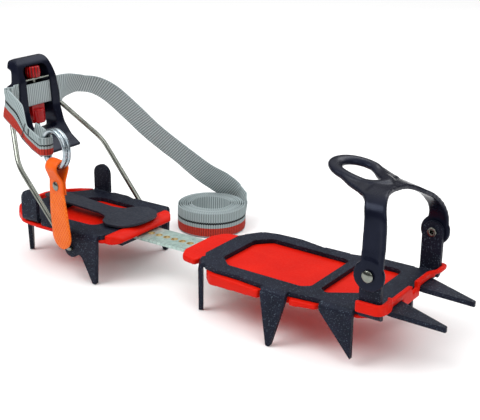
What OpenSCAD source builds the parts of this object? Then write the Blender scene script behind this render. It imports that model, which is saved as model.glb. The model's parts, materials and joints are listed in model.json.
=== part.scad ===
// Semi-automatic mountaineering crampon for a right foot.
// X runs from heel to toe, +Y is the inner side of the foot, and the points stand on z = 0.
// Lengths along X are measured from the datum at the front of the heel section's front points.

/* [Sheet steel] */
// Height of the frame tops above the point tips
frame_h = 35; // [30:0.5:42]
// Thickness of the frame sheet
sheet = 3; // [2.5:0.1:3.4]
// Outer radius of the sheet bends
bend_r = 4; // [3.8:0.1:5]
// Width of a point at its blunt tip
tip_w = 2.8; // [2:0.1:4]

/* [Front frame] */
// Distance from the datum to the back edge of the front frame
front_x = 77; // [74:0.5:88]
// Length of the front frame without its points
front_len = 134; // [130:0.5:140]
// Half width of the front frame at the posts
front_half_w = 38.5; // [36:0.5:42]
// Half width of the back edge
back_half_w = 19; // [16:0.5:22]
// Half width of the waist on the inner side
waist_half_w = 34; // [32:0.5:37]
// Half width of the bulge on the outer side
bulge_half_w = 40.5; // [38:0.5:43]
// Length of the cut back corners
corner_len = 10.5; // [9:0.5:13]
// Width of the side rails
rail_w = 10; // [8:0.5:12]
// Width of the crossbar between the windows
crossbar_w = 6.5; // [5:0.5:9]
// Distance of the crossbar's back edge from the front edge
crossbar_back = 51; // [48:0.5:56]
// Distance of the middle points from the front edge
middle_back = 66.5; // [65:0.5:70]
// Width of the middle points at the bend
middle_w = 17.5; // [14:0.5:19]
// Distance of the fore points from the front edge
fore_back = 25; // [24:0.5:27]
// Width of the fore points at the bend
fore_w = 22; // [18:0.5:23]
// Forward lean of the fore points, at the tip
fore_lean = 16; // [10:0.5:18]
// Length of the front points past the frame
front_point_len = 35; // [28:0.5:42]
// Distance of the front points from the middle
front_point_y = 21; // [20:0.5:22]
// Width of the front points at the root
front_point_w = 17; // [14:0.5:19]
// Width of the posts that carry the basket
post_w = 13.5; // [13:0.5:15]
// Height of the basket rivets above the ground
basket_rivet_z = 60.4; // [56:0.2:64]

/* [Heel frame] */
// Length of the heel frame behind the datum
heel_len = 85; // [82:0.5:88]
// Length of the heel frame ahead of the datum
heel_front = 4; // [3:0.5:6]
// Half width of the heel frame at the bail
heel_half_w = 36.5; // [35:0.5:39]
// Length of the heel window
window_len = 48; // [42:0.5:50]
// Half width of the heel window
window_half_w = 25; // [23:0.5:27]
// Distance from the datum back to the bail pivot
pivot_back = 22; // [21:0.5:23]
// Height of the bail pivot
pivot_z = 22; // [20:0.5:23]
// Distance from the datum back to the heel tabs
tab_back = 62; // [61:0.5:63]
// Width of the heel tabs
tab_w = 14.5; // [12:0.5:15]
// Height of the heel tabs above the ground
tab_top = 55.6; // [50:0.2:60]
// Width of the back points at the bend
back_point_w = 10; // [8:0.5:12]

/* [Link bar] */
// Half width of the bar
bar_half_w = 11.3; // [10:0.1:12]
// Thickness of the bar
bar_t = 2; // [1.6:0.1:2.2]
// Length of the bar behind the datum
bar_behind = 46; // [42:0.5:50]
// Pitch of the length holes
hole_pitch = 6.75; // [6:0.05:7.5]
// Radius of the length holes
hole_r = 2.3; // [2:0.05:2.6]

/* [Plates] */
// Thickness of the moulded plates
plate_t = 2.4; // [2:0.1:3]
// How far the plates stand out past the frames
plate_out = 3.5; // [2:0.1:4]
// Depth of the plate rims
rim_h = 7.5; // [5:0.1:9]
// Height of the front lip above the frame
lip_h = 4.4; // [3:0.1:6]
// Length of the tongue behind the front frame
tongue_len = 20; // [16:0.5:22]

/* [Length lever] */
// Thickness of the spring strip
spring_t = 1.5; // [1.2:0.1:2]
// Half width of the strip
strip_half_w = 7.3; // [6:0.1:8]
// Half width of the paddle
paddle_half_w = 21; // [18:0.5:23]
// Radius of the lock pin
pin_r = 2.1; // [1.8:0.05:2.2]

/* [Heel bail and lever] */
// Radius of the bail wire
wire_r = 1.8; // [1.5:0.05:2]
// Length of the bail from pivot to cross wire
bail_len = 111; // [108:0.5:115]
// Lean of the bail back from upright
bail_lean = 40; // [36:0.5:42]
// Lean of the heel lever back from upright
lever_lean = 4; // [2:0.5:7]
// Half width of the heel lever
lever_half_w = 19.5; // [18.5:0.5:20.5]
// Half width of the lever's channel
channel_half_w = 12; // [11:0.1:12.5]
// Radius of the red barrel nut
barrel_r = 5.6; // [5:0.1:5.8]
// Radius of the thumb wheel
knob_r = 5.5; // [5:0.1:5.7]
// Radius of the adjuster screw
screw_r = 1.4; // [1.2:0.05:1.5]

/* [Strap and rings] */
// Width of the webbing
strap_w = 19.5; // [18:0.5:20]
// Thickness of the webbing
strap_t = 1.2; // [1:0.1:1.4]
// Radius of the rings, to the middle of the wire
ring_r = 12.6; // [12:0.1:14]
// Radius of the ring wire
ring_wire_r = 1.4; // [1.2:0.05:1.6]
// Length of the pull tab below the rings
tab_len = 56; // [50:0.5:60]
// Thickness of the pull tab
tab_t = 1.6; // [1.4:0.1:2]
// Inner radius of the strap roll
roll_r = 14.2; // [13:0.1:16]
// Gap between the turns of the roll
roll_gap = 0.48; // [0.42:0.02:0.8]
// Turns in the roll
roll_turns = 7; // [6:0.5:8]

/* [Clearances] */
// Radial clearance of a pin that turns in a hole
run_gap = 0.06; // [0.03:0.01:0.1]
// Gap between pieces that lie against each other
lay_gap = 0.2; // [0.1:0.05:0.3]
// Gap beside pieces that slide or swing past each other
free_gap = 0.4; // [0.3:0.05:0.6]

/* [Hidden] */
$fn = 48;

black = [0.13, 0.14, 0.19];
red = [0.90, 0.13, 0.07];
orange = [0.94, 0.36, 0.05];
steel = [0.72, 0.74, 0.75];
zinc = [0.62, 0.74, 0.72];
grey = [0.27, 0.30, 0.34];
webbing = [0.60, 0.63, 0.63];

// Heights of the stacked pieces, from the frame down
frame_low = frame_h - sheet;
plate_top = frame_low - lay_gap;
plate_low = plate_top - plate_t;
rim_low = plate_top - rim_h;
bar_top = plate_low - lay_gap;
bar_low = bar_top - bar_t;
guide_top = bar_low - lay_gap;
guide_t = 2.5;

// Places along X
pivot_x = -pivot_back;
tab_x = -tab_back;
pin_x = -4;
root_x = -74;
front_edge = front_x + front_len;
post_at = front_len - 3.4;
crossbar_at = front_len - crossbar_back;
middle_at = front_len - middle_back;
fore_at = front_len - fore_back;
bend_in = bend_r - sheet;

// The cross wire of the bail, which the heel lever turns on
cross_x = pivot_x - bail_len * sin(bail_lean);
cross_z = pivot_z + bail_len * cos(bail_lean);

// Heel lever, measured from the cross wire
lever_up = 34;
lever_back = 4.6;
lever_front = 8.8;
screw_x = wire_r + screw_r + 0.5;
strap_x = screw_x + screw_r + 1.1;
strap_low = -3;
slide_up = 3;
slide_down = 1;

// The part is centred between the front points and the back of the heel lever
mid_x = (front_edge + front_point_len + cross_x - lever_back - lever_up * sin(lever_lean)) / 2;

function unit(v) = v / norm(v);

// Points of an outline whose corners [x, y, r] are rounded to radius r
function corner_arc(a, b, c, r, n) =
  let (u = unit(a - b), v = unit(c - b), half = acos(max(-1, min(1, u * v))) / 2)
  let (room = 0.49 * min(norm(a - b), norm(c - b)), fit = min(r, room * tan(half)))
  fit < 0.02 || half > 89 ? [b] :
  let (centre = b + unit(u + v) * fit / sin(half), run = fit / tan(half))
  let (from = b + u * run - centre, to = b + v * run - centre)
  let (start = atan2(from.y, from.x), turn = atan2(cross([from.x, from.y], [to.x, to.y]), from * to))
  [for (i = [0:n]) centre + fit * [cos(start + turn * i / n), sin(start + turn * i / n)]];
function rounded(pts, n = 4) =
  let (k = len(pts), flat = [for (p = pts) [p.x, p.y]])
  [for (i = [0:k - 1]) each corner_arc(flat[(i + k - 1) % k], flat[i], flat[(i + 1) % k], pts[i].z, n)];
function flipped(pts) = [for (i = [len(pts) - 1:-1:0]) [pts[i].x, -pts[i].y, pts[i].z]];

// Points of a smooth line through the given ones, n to each stretch
function smooth(pts, n) =
  let (last = len(pts) - 1)
  concat([for (i = [0:last - 1], j = [0:n - 1])
    let (a = pts[max(i - 1, 0)], b = pts[i], c = pts[i + 1], d = pts[min(i + 2, last)], t = j / n)
    (2 * b + (c - a) * t + (2 * a - 5 * b + 4 * c - d) * t * t + (3 * b - a - 3 * c + d) * t * t * t) / 2],
    [pts[last]]);

module centred() { translate([-mid_x, 0, 0]) children(); }
module front_place() { centred() translate([front_x, 0, 0]) children(); }
module both_sides() { children(); mirror([0, 1, 0]) children(); }
module along_y(x, z) { translate([x, 0, z]) rotate([90, 0, 0]) children(); }
module axis_frame(o, x, y, z) {
  multmatrix([[x.x, y.x, z.x, o.x], [x.y, y.y, z.y, o.y], [x.z, y.z, z.z, o.z], [0, 0, 0, 1]]) children();
}

// Sheet bent down at an edge along local X, with local +Y outward and the frame's top at z = 0.
// The side view of the bend is cut to the outline of the point or post.
tail = 1;
bend_steps = 6;
function bent(angle, length) =
  let (arc = [for (i = [0:bend_steps]) angle * i / bend_steps], out = [cos(angle), -sin(angle)])
  let (outer = [for (a = arc) bend_r * [sin(a), cos(a) - 1]])
  let (inner = [for (a = arc) [bend_in * sin(a), bend_in * cos(a) - bend_r]])
  concat([[-tail, 0]], outer, [outer[bend_steps] + out * length, inner[bend_steps] + out * length],
    [for (i = [bend_steps:-1:0]) inner[i]], [[-tail, -sheet]]);
module bent_sheet(w, angle, length) {
  rotate([90, 0, 90]) linear_extrude(w, center = true) polygon(bent(angle, length));
}
module cut_across() { rotate([90, 0, 0]) linear_extrude(200, center = true) children(); }
function point_outline(w, shift, length) = rounded([
  [-w / 2, tail, 0], [-w / 2, -bend_r - 1, 6], [shift - tip_w / 2, -length, 1],
  [shift + tip_w / 2, -length, 1], [w / 2, -bend_r - 1, 6], [w / 2, tail, 0]]);
module down_point(w, shift, angle) {
  translate([0, 0, frame_h]) intersection() {
    bent_sheet(w, angle, frame_h + 5);
    cut_across() polygon(point_outline(w, shift, frame_h));
  }
}
module upright(w, height) {
  translate([0, 0, frame_low]) mirror([0, 0, 1]) intersection() {
    bent_sheet(w, 90, height + 5);
    cut_across() polygon(rounded([
      [-w / 2, tail, 0], [-w / 2, -height, w / 2], [w / 2, -height, w / 2], [w / 2, tail, 0]], 8));
  }
}
module front_point() {
  drop = 8;
  translate([0, 0, frame_h]) intersection() {
    bent_sheet(front_point_w, drop, front_point_len + 5);
    translate([0, 0, -50]) linear_extrude(100) polygon(rounded([
      [-front_point_w / 2, -tail, 0], [-front_point_w / 2, 4, 6], [-tip_w / 2, front_point_len, 1],
      [tip_w / 2, front_point_len, 1], [front_point_w / 2, 4, 6], [front_point_w / 2, -tail, 0]]));
  }
}
module on_edge(a, b, share) {
  p = a + (b - a) * share;
  translate([p.x, p.y, 0]) rotate([0, 0, atan2(b.y - a.y, b.x - a.x)]) children();
}

// Front frame
corner_half_w = front_half_w - 3.5;
post_h = basket_rivet_z + post_w / 2 - frame_low;
rivet_r = 2.2;
rivet_hole_r = rivet_r + run_gap;
splay = 82;
function front_side(mid_y) = [
  [0, back_half_w, 3], [corner_len, corner_half_w, 5], [corner_len + 10, front_half_w - 1, 8],
  [middle_at - middle_w / 2 - 20, front_half_w - 0.5, 20], [middle_at - middle_w / 2 - 1, mid_y, 6],
  [middle_at + middle_w / 2 + 1, mid_y, 6], [fore_at - fore_w / 2 - 1, front_half_w, 6],
  [front_len + 2.7, front_half_w, 2], [front_len, front_half_w - 7, 4]];
function front_outline() = rounded(concat(front_side(waist_half_w), flipped(front_side(bulge_half_w))));
function big_window() =
  let (back = 13.5, inner = waist_half_w - rail_w + 1, outer = bulge_half_w - rail_w - 1.5) rounded([
  [back, 18, 4], [back + 9, inner + 2.5, 5], [crossbar_at - 4, inner, 4], [crossbar_at, inner - 3, 3],
  [crossbar_at, -outer + 4, 3], [crossbar_at - 5, -outer, 4], [back + 10, -outer + 1.5, 5],
  [back, -18, 4]]);
function small_window() =
  let (back = crossbar_at + crossbar_w, front = front_len - 16, inner = front_half_w - rail_w + 1) rounded([
  [back, inner - 5, 3], [back + 8, inner, 4], [front - 4, inner, 4], [front, inner - 4, 3],
  [front, -8, 5], [front - 7, -inner + 12, 5], [back + 5, -inner + 1, 3], [back, -inner + 5, 3]]);
module front_frame() {
  color(black) front_place() difference() {
    union() {
      translate([0, 0, frame_low]) linear_extrude(sheet) difference() {
        polygon(front_outline());
        polygon(big_window());
        polygon(small_window());
      }
      translate([middle_at, waist_half_w, 0]) down_point(middle_w, 0, splay);
      mirror([0, 1, 0]) translate([middle_at, bulge_half_w, 0]) down_point(middle_w, 0, splay);
      both_sides() {
        on_edge([0, back_half_w], [corner_len, corner_half_w], 0.6) down_point(12, 0, 90);
        translate([fore_at, front_half_w, 0]) down_point(fore_w, fore_lean, 90);
        translate([post_at, front_half_w, 0]) upright(post_w, post_h);
        translate([front_len, front_point_y, 0]) rotate([0, 0, -90]) front_point();
      }
    }
    along_y(post_at, basket_rivet_z) cylinder(r = rivet_r + lay_gap, h = 200, center = true);
    for (x = bar_screw_at) translate([x, 0, frame_low - 1]) cylinder(r = bar_screw_r + run_gap, h = 3);
  }
}

// Red plate under the front frame: a sheet with deep rims, a back tongue and a front lip
bar_screw_at = [2.5, 10.5];
bar_screw_r = 2;
lip_t = 3;
lip_x = front_len + free_gap;
function front_plate_side(mid_y) =
  let (seat = 0.5, mid_a = middle_at - middle_w / 2 - 2, mid_b = middle_at + middle_w / 2 + 2)
  let (fore_a = fore_at - fore_w / 2 - 2, fore_b = fore_at + fore_w / 2 + 4.5)
  let (wide = front_half_w + plate_out) [
  [-tongue_len, 15, 6], [-tongue_len + 5, 25, 7], [-3.4, 27, 2], [-1.2, 17.5, 2],
  [corner_len + 0.8, corner_half_w - 1.2, 1], [corner_len + 7, wide - 2, 5], [mid_a - 18, wide, 20],
  [mid_a, mid_y + plate_out, 2], [mid_a, mid_y + seat, 0], [mid_b, mid_y + seat, 0],
  [mid_b, mid_y + plate_out, 2],
  [fore_a, wide, 2], [fore_a, front_half_w + seat, 0], [fore_b - 3, front_half_w + seat, 3],
  [front_len - 6, front_half_w - 4, 8], [lip_x + lip_t - 1, front_half_w - 12, 4], [lip_x + lip_t, 10, 8]];
module front_plate() {
  outline = rounded(concat(front_plate_side(waist_half_w), flipped(front_plate_side(bulge_half_w))));
  pocket = rounded([
    [13, waist_half_w - 4, 4], [front_len - 5, waist_half_w - 4, 4],
    [front_len - 5, 4 - front_half_w, 4], [13, 4 - front_half_w, 4]]);
  lip_top = frame_h + lip_h;
  wall_x = post_at + post_w / 2 + free_gap;
  wall_y = front_half_w + bend_r + free_gap;
  wall_end = fore_at + 14;
  ear_end = front_len - 1;
  wall_low = frame_h + 2;
  corner = wall_x + lip_t;
  outside = wall_y + lip_t;
  lip = [
    [ear_end, outside, 1.2], [corner, outside, 4.5], [corner, front_half_w - 5, 5],
    [lip_x + lip_t, front_half_w - 13, 8], [lip_x + lip_t, 13 - front_half_w, 8],
    [corner, 5 - front_half_w, 5],
    [corner, -outside, 7.5], [wall_end, -outside, 1.2], [wall_end, -wall_y, 1.2], [wall_x, -wall_y, 0.3],
    [wall_x, 5 - front_half_w, 4], [lip_x, 11 - front_half_w, 5], [lip_x, front_half_w - 11, 5],
    [wall_x, front_half_w - 5, 4], [wall_x, wall_y, 0.3], [ear_end, wall_y, 1.2]];
  color(red) front_place() difference() {
    union() {
      translate([0, 0, rim_low]) linear_extrude(rim_h) polygon(outline);
      difference() {
        translate([0, 0, plate_low]) linear_extrude(lip_top + lip_h - plate_low) polygon(rounded(lip));
        both_sides() translate([0, front_half_w - 9, 0]) cube([front_len + 20, 50, wall_low]);
        translate([front_len - 5, 9 - front_half_w, lip_top]) cube([30, 2 * front_half_w + 20, 20]);
      }
    }
    translate([0, 0, rim_low - 1]) linear_extrude(plate_low - rim_low + 1) polygon(pocket);
    translate([-tongue_len - 1, -bar_half_w - 1.5, 0])
      cube([tongue_len + 20, 2 * bar_half_w + 3, plate_low]);
    translate([-tongue_len - 1, -40, 0]) cube([tongue_len + 10, 80, plate_low - 1.5]);
    translate([0, 0, rim_low]) rotate([90, 0, 0]) linear_extrude(200, center = true)
      polygon([[20, 0], [20, -20], [200, -20], [200, plate_low - rim_low], [fore_at, plate_low - rim_low]]);
    both_sides() translate([front_len - 6, front_point_y - front_point_w / 2 - 1, 0])
      cube([20, front_point_w + 2, frame_h + free_gap]);
    translate([front_len - 1, 1, frame_h - 0.5]) cube([20, 8, 20]);
    for (x = bar_screw_at) translate([x, 0, 0]) cylinder(r = bar_screw_r + run_gap, h = frame_h);
  }
}

// Basket over the toe: an arch band cut to its outline as seen from above
basket_t = 3;
arm_w = 14.5;
arm_y = front_half_w + bend_r + lay_gap + basket_t / 2;
arm_x = post_at + 1.5;
arm_end_r = 9.7;
loop_at = arm_x - 32;
loop_y = -5;
loop_r_out = 19;
loop_r_in = 11.5;
loop_t = 4.5;
loop_tilt = 15;
basket_h = 43.5;
loop_z = basket_rivet_z + basket_h;
function arch_line() = [for (p = smooth([
  [-arm_y, -4], [-arm_y, 8], [-arm_y, basket_h - 19.5], [-arm_y + 0.6, basket_h - 10.5],
  [-arm_y + 5.5, basket_h - 3.5], [-arm_y + 17, basket_h], [-arm_y + 31, basket_h], [0, basket_h - 1.5],
  [arm_y - 34, basket_h - 5.5],
  [arm_y - 25, basket_h - 10], [arm_y - 14, basket_h - 16], [arm_y - 5, basket_h - 24.5],
  [arm_y - 0.8, basket_h - 32], [arm_y, 7], [arm_y, -4]], 4)) [p.x, basket_rivet_z + p.y]];
function beside(pts, d) =
  let (last = len(pts) - 1)
  [for (i = [0:last])
    let (t = unit(pts[min(i + 1, last)] - pts[max(i - 1, 0)]))
    [pts[i].x - t.y * d, pts[i].y + t.x * d]];
function arch_band() =
  let (outer = beside(arch_line(), basket_t / 2), inner = beside(arch_line(), -basket_t / 2))
  concat(outer, [for (i = [len(inner) - 1:-1:0]) inner[i]]);
function basket_plan() =
  let (near = arm_x - arm_w / 2, far = arm_x + arm_w / 2)
  let (side = arm_y + basket_t, crown = arm_x - 9) rounded([
  [far, -side, 0], [far, -arm_y + 5, 4], [arm_x - 1, -arm_y + 17, 10], [arm_x - 3, 5, 14],
  [far - 2, arm_y - 13, 8], [far, arm_y - 6, 8], [far, side, 0], [near, side, 0], [near, arm_y - 9, 6],
  [crown, loop_y + 14, 8], [crown, loop_y - 18, 8], [near, -arm_y + 8, 6], [near, -side, 0]], 5);

// The neck between loop and arch: its side view and its outline from above, from the middle of the loop
function neck_side() =
  let (top = smooth([[7, 0.2], [14, -1.5], [19, -1.9], [24, -0.9], [29, 0.7], [33, 1.3]], 3))
  concat(top, [for (i = [len(top) - 1:-1:0]) [top[i].x, top[i].y - basket_t - 0.6]]);
function neck_plan() = rounded([
  [5, -18.2, 3], [14, -18.2, 10], [21, -21.5, 10], [25.5, -29, 3], [33, -29, 2], [33, -8, 2], [27, 4, 8],
  [22, 12, 8], [12, 16, 8], [5, 18.2, 3]]);
function loop_section() =
  let (bead = 0.7, edge = 2.4) rounded([
  [loop_r_in, 0, 1.4], [loop_r_out, 0, 1.6], [loop_r_out, loop_t + bead, 1],
  [loop_r_out - edge + 0.6, loop_t + bead, 0.6], [loop_r_out - edge, loop_t, 0.6],
  [loop_r_in + edge, loop_t, 0.6], [loop_r_in + edge - 0.6, loop_t + bead, 0.6],
  [loop_r_in, loop_t + bead, 1]], 3);
module loop_place() { translate([loop_at, loop_y, loop_z]) rotate([0, loop_tilt, 0]) children(); }
module toe_basket() {
  groove = 0.7;
  color(black) front_place() difference() {
    union() {
      intersection() {
        translate([0, 0, frame_h]) linear_extrude(100) polygon(basket_plan());
        translate([loop_at - 40, 0, 0]) rotate([90, 0, 90]) linear_extrude(120) polygon(arch_band());
      }
      translate([loop_at, loop_y, 0]) intersection() {
        translate([0, 40, loop_z]) rotate([90, 0, 0]) linear_extrude(80) polygon(neck_side());
        linear_extrude(200) polygon(neck_plan());
      }
      loop_place() rotate_extrude($fn = 72) translate([0, -loop_t / 2]) polygon(loop_section());
      both_sides() translate([post_at, arm_y, basket_rivet_z]) rotate([90, 0, 0])
        cylinder(r = arm_end_r, h = basket_t, center = true);
    }
    loop_place() cylinder(r = loop_r_in - 0.02, h = 30, center = true);
    translate([arm_x - arm_w / 2 + 2.4, groove - arm_y - basket_t / 2 - 10, basket_rivet_z + 11.5])
      cube([arm_w - 4.8, 10, basket_h - 15.5]);
    along_y(post_at, basket_rivet_z) cylinder(r = rivet_hole_r, h = 200, center = true);
  }
}

// Two rivets with a domed head outside and a rolled edge inside the post
rivet_head_r = 3.5;
rivet_bore_r = 1.4;
module basket_rivets() {
  inside = front_half_w + bend_in - lay_gap;
  outside = arm_y + basket_t / 2 + lay_gap;
  color(steel) front_place() both_sides() translate([post_at, inside, basket_rivet_z]) rotate([-90, 0, 0])
    difference() {
      union() {
        cylinder(r = rivet_r, h = outside - inside);
        translate([0, 0, -0.9]) cylinder(r = rivet_r + 0.8, h = 0.9);
        translate([0, 0, outside - inside]) rotate_extrude() intersection() {
          translate([0, -rivet_head_r * 1.2]) circle(rivet_head_r * 1.2 + 2.2);
          square([rivet_head_r, 4]);
        }
      }
      translate([0, 0, -2]) cylinder(r = rivet_bore_r, h = outside - inside);
    }
}

// Flat bar with its row of length holes
bar_front = 22;
module link_bar() {
  first = -floor((bar_behind + pin_x - 5) / hole_pitch);
  last = floor((front_x - 22 - pin_x) / hole_pitch);
  length = bar_behind + front_x + bar_front;
  color(zinc) centred() difference() {
    translate([0, 0, bar_low]) linear_extrude(bar_t) polygon(rounded([
      [-bar_behind, -bar_half_w, 4], [length - bar_behind, -bar_half_w, 4],
      [length - bar_behind, bar_half_w, 4], [-bar_behind, bar_half_w, 4]]));
    for (k = [first:last]) translate([pin_x + k * hole_pitch, 0, 0]) cylinder(r = hole_r, h = frame_h);
    for (x = bar_screw_at) translate([front_x + x, 0, 0]) cylinder(r = bar_screw_r + run_gap, h = frame_h);
  }
}
module bar_screws() {
  color(steel) front_place() for (x = bar_screw_at) translate([x, 0, 0]) {
    translate([0, 0, bar_low - lay_gap - 1.6]) cylinder(r = 3.4, h = 1.6);
    translate([0, 0, bar_low - lay_gap]) cylinder(r = bar_screw_r, h = frame_low + 1.6 - bar_low);
  }
}

// Heel frame
diag_a = [-heel_len, 11.3];
diag_b = [-tab_back - tab_w / 2 - 1.3, heel_half_w - 3];
heel_tab_y = heel_half_w - 1;
leg_back = -30;
leg_front = 0.7;
lobe_r = 6.5;
window_front = -14;
guide_rivet_x = -9;
guide_rivet_y = 16.5;
guide_rivet_r = 2;
function rear_side() = [
  [heel_front, heel_half_w - 5, 4], [leg_front + 0.8, heel_half_w, 2], [leg_back - 1, heel_half_w, 4],
  [leg_back - 8, heel_half_w + 2.5, 6], [tab_x + tab_w / 2 + 3, heel_half_w + 2.5, 3],
  [tab_x + tab_w / 2 + 0.6, heel_tab_y, 0], [tab_x - tab_w / 2 - 0.6, heel_tab_y, 0],
  [diag_b.x, diag_b.y, 2], [diag_a.x, diag_a.y, 4]];
module side_leg() {
  middle = (leg_back + leg_front) / 2;
  tip_x = -2.2;
  translate([0, heel_half_w, frame_h]) intersection() {
    translate([middle, 0, 0]) bent_sheet(leg_front - leg_back, 90, frame_h);
    cut_across() translate([0, -frame_h]) {
      polygon(rounded([
        [leg_back, frame_h + tail, 0], [pivot_x - lobe_r, pivot_z, 0], [pivot_x, pivot_z, 0],
        [pivot_x + lobe_r - 1, pivot_z - 2.5, 2], [-12.5, pivot_z - 5, 4], [tip_x - tip_w / 2, 0, 1],
        [tip_x + tip_w / 2, 0, 1], [leg_front, frame_h - bend_r - 3, 6], [leg_front, frame_h + tail, 0]]));
      translate([pivot_x, pivot_z]) circle(lobe_r);
    }
  }
}
module rear_frame() {
  color(black) centred() difference() {
    union() {
      translate([0, 0, frame_low]) linear_extrude(sheet) difference() {
        polygon(rounded(concat(rear_side(), flipped(rear_side()))));
        polygon(rounded([
          [window_front, 1 - window_half_w, 7], [window_front, window_half_w - 1, 7],
          [window_front - window_len + 10, window_half_w, 8],
          [window_front - window_len, window_half_w - 10, 6],
          [window_front - window_len, 10 - window_half_w, 6],
          [window_front - window_len + 10, -window_half_w, 8]]));
      }
      both_sides() {
        side_leg();
        translate([tab_x, heel_tab_y, 0]) upright(tab_w, tab_top - frame_low);
        on_edge(diag_a, diag_b, 0.24) down_point(back_point_w, 0, 90);
      }
    }
    along_y(pivot_x, pivot_z) cylinder(r = wire_r + run_gap, h = 200, center = true);
    translate([pin_x, 0, 0]) cylinder(r = pin_r + 2 * free_gap, h = 60);
    translate([root_x, 0, 0]) cylinder(r = root_rivet_r + run_gap, h = 60);
    both_sides() translate([guide_rivet_x, guide_rivet_y, 0]) cylinder(r = guide_rivet_r + run_gap, h = 60);
  }
}

// Red plate under the heel frame, with rolled front and back loop
rim_x = -heel_len - 10.5;
loop_w = 4.2;
rear_plate_side = [
  [heel_front + 1, heel_half_w - 4, 2], [leg_front + 1.5, heel_half_w + bend_in - 0.5, 1],
  [leg_back - 1.5, heel_half_w + bend_in - 0.5, 0], [leg_back - 1.5, heel_half_w + 3, 2],
  [tab_x + tab_w / 2, heel_half_w + 3, 4], [tab_x - tab_w / 2 - 2, heel_half_w + 1, 6],
  [-heel_len + 4, heel_half_w - 5, 8], [-heel_len - 4, heel_half_w - 13, 8], [rim_x, 11, 10]];
rear_plate_slot = [
  [-heel_len + 2, 7, 2], [diag_b.x - 1, diag_b.y - 10, 2], [diag_b.x - 3, heel_half_w - 6, 3],
  [-heel_len + 3, heel_half_w - 10, 4], [-heel_len - 1, heel_half_w - 16, 6], [rim_x + loop_w, 10, 7]];
module rear_plate_outline() {
  difference() {
    polygon(rounded(concat(rear_plate_side, flipped(rear_plate_side))));
    polygon(rounded(concat(rear_plate_slot, flipped(rear_plate_slot))));
  }
}
module rear_plate() {
  nose = heel_front + 11;
  roll = concat([[heel_front + lay_gap, plate_low]], [[heel_front + lay_gap, frame_h + 0.4]], smooth([
    [heel_front + 4.5, frame_h + 0.7], [nose - 2.6, frame_h - 0.7], [nose, frame_h - 3],
    [nose, plate_low + 1.5], [nose - 2.6, plate_low]], 5));
  color(red) centred() difference() {
    union() {
      translate([0, 0, plate_low]) linear_extrude(plate_t) rear_plate_outline();
      intersection() {
        translate([0, 0, plate_low + 1]) linear_extrude(frame_h - plate_low - 1) rear_plate_outline();
        translate([-heel_len - 40, -100, 0]) cube([54, 200, 100]);
      }
      intersection() {
        translate([0, 50, 0]) rotate([90, 0, 0]) linear_extrude(100) polygon(roll);
        linear_extrude(60) polygon(rounded([
          [0, 1 - heel_half_w, 0], [heel_front + 5, 1 - heel_half_w, 5],
          [heel_front + 13, 10 - heel_half_w, 9], [heel_front + 13, heel_half_w - 16, 9],
          [heel_front + 6, heel_half_w - 7, 6], [0, heel_half_w - 7, 0]], 8));
      }
    }
    translate([0, 0, frame_low - lay_gap]) linear_extrude(40)
      polygon(rounded([for (p = concat(rear_side(), flipped(rear_side()))) [p.x, p.y, 0]]));
    both_sides() on_edge(diag_a, diag_b, 0.24) translate([-back_point_w / 2 - 1, -1, 0])
      cube([back_point_w + 2, bend_r + 1.5, 60]);
    translate([pin_x, 0, 0]) cylinder(r = pin_r + 2 * free_gap, h = 60);
    translate([root_x, 0, 0]) cylinder(r = root_rivet_r + 3, h = 60);
    both_sides() translate([guide_rivet_x, guide_rivet_y, 0]) cylinder(r = guide_rivet_r + run_gap, h = 60);
  }
}

// Bridge strip under the bar, riveted through the plate to the frame
module bar_guide() {
  ear = guide_rivet_y + 5;
  inner = bar_half_w + free_gap;
  color(black) centred() difference() {
    translate([guide_rivet_x - 6, -ear, guide_top - guide_t])
      cube([heel_front + 10 - guide_rivet_x, 2 * ear, plate_low - lay_gap - guide_top + guide_t]);
    translate([-60, -inner, guide_top]) cube([100, 2 * inner, 30]);
    both_sides() translate([guide_rivet_x, guide_rivet_y, 0]) cylinder(r = guide_rivet_r + run_gap, h = 60);
    translate([pin_x, 0, 0]) cylinder(r = hole_r, h = 60);
  }
}
module guide_rivets() {
  low = guide_top - guide_t - lay_gap;
  color(steel) centred() both_sides() translate([guide_rivet_x, guide_rivet_y, 0]) {
    translate([0, 0, low]) cylinder(r = guide_rivet_r, h = frame_h - low);
    translate([0, 0, low - 1.2]) cylinder(r = guide_rivet_r + 1.6, h = 1.2);
  }
}

// Spring lever with paddle, lifted off the bar by hand
root_rivet_r = 2.2;
spacer_h = 3.4;
paddle_z = frame_h + 1.2;
root_z = frame_h + spacer_h + free_gap;
paddle_front = heel_front + 10;
module length_lever() {
  side = rounded([
    [root_x - 7, root_z, 0], [root_x + 7, root_z, 20], [window_front - 2, paddle_z, 20],
    [paddle_front - 6, paddle_z, 10], [paddle_front + 1, paddle_z + 1.2, 0],
    [paddle_front + 1, paddle_z + 1.2 + spring_t, 0], [paddle_front - 6, paddle_z + spring_t, 10],
    [window_front - 2, paddle_z + spring_t, 20], [root_x + 7, root_z + spring_t, 20],
    [root_x - 7, root_z + spring_t, 0]]);
  half = [
    [root_x - 7, strip_half_w - 2, 3], [root_x, strip_half_w + 0.6, 4],
    [window_front - 12, strip_half_w, 12], [window_front - 3, strip_half_w + 2.5, 6],
    [window_front + 1, paddle_half_w - 3, 5], [window_front + 8, paddle_half_w + 1, 7],
    [paddle_front - 9, paddle_half_w - 1, 8], [paddle_front, 9, 14]];
  color(grey) centred() difference() {
    intersection() {
      translate([0, 60, 0]) rotate([90, 0, 0]) linear_extrude(120) polygon(side);
      linear_extrude(80) polygon(rounded(concat(half, flipped(half))));
    }
    translate([root_x, 0, 0]) cylinder(r = root_rivet_r + free_gap, h = 80);
  }
}
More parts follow.
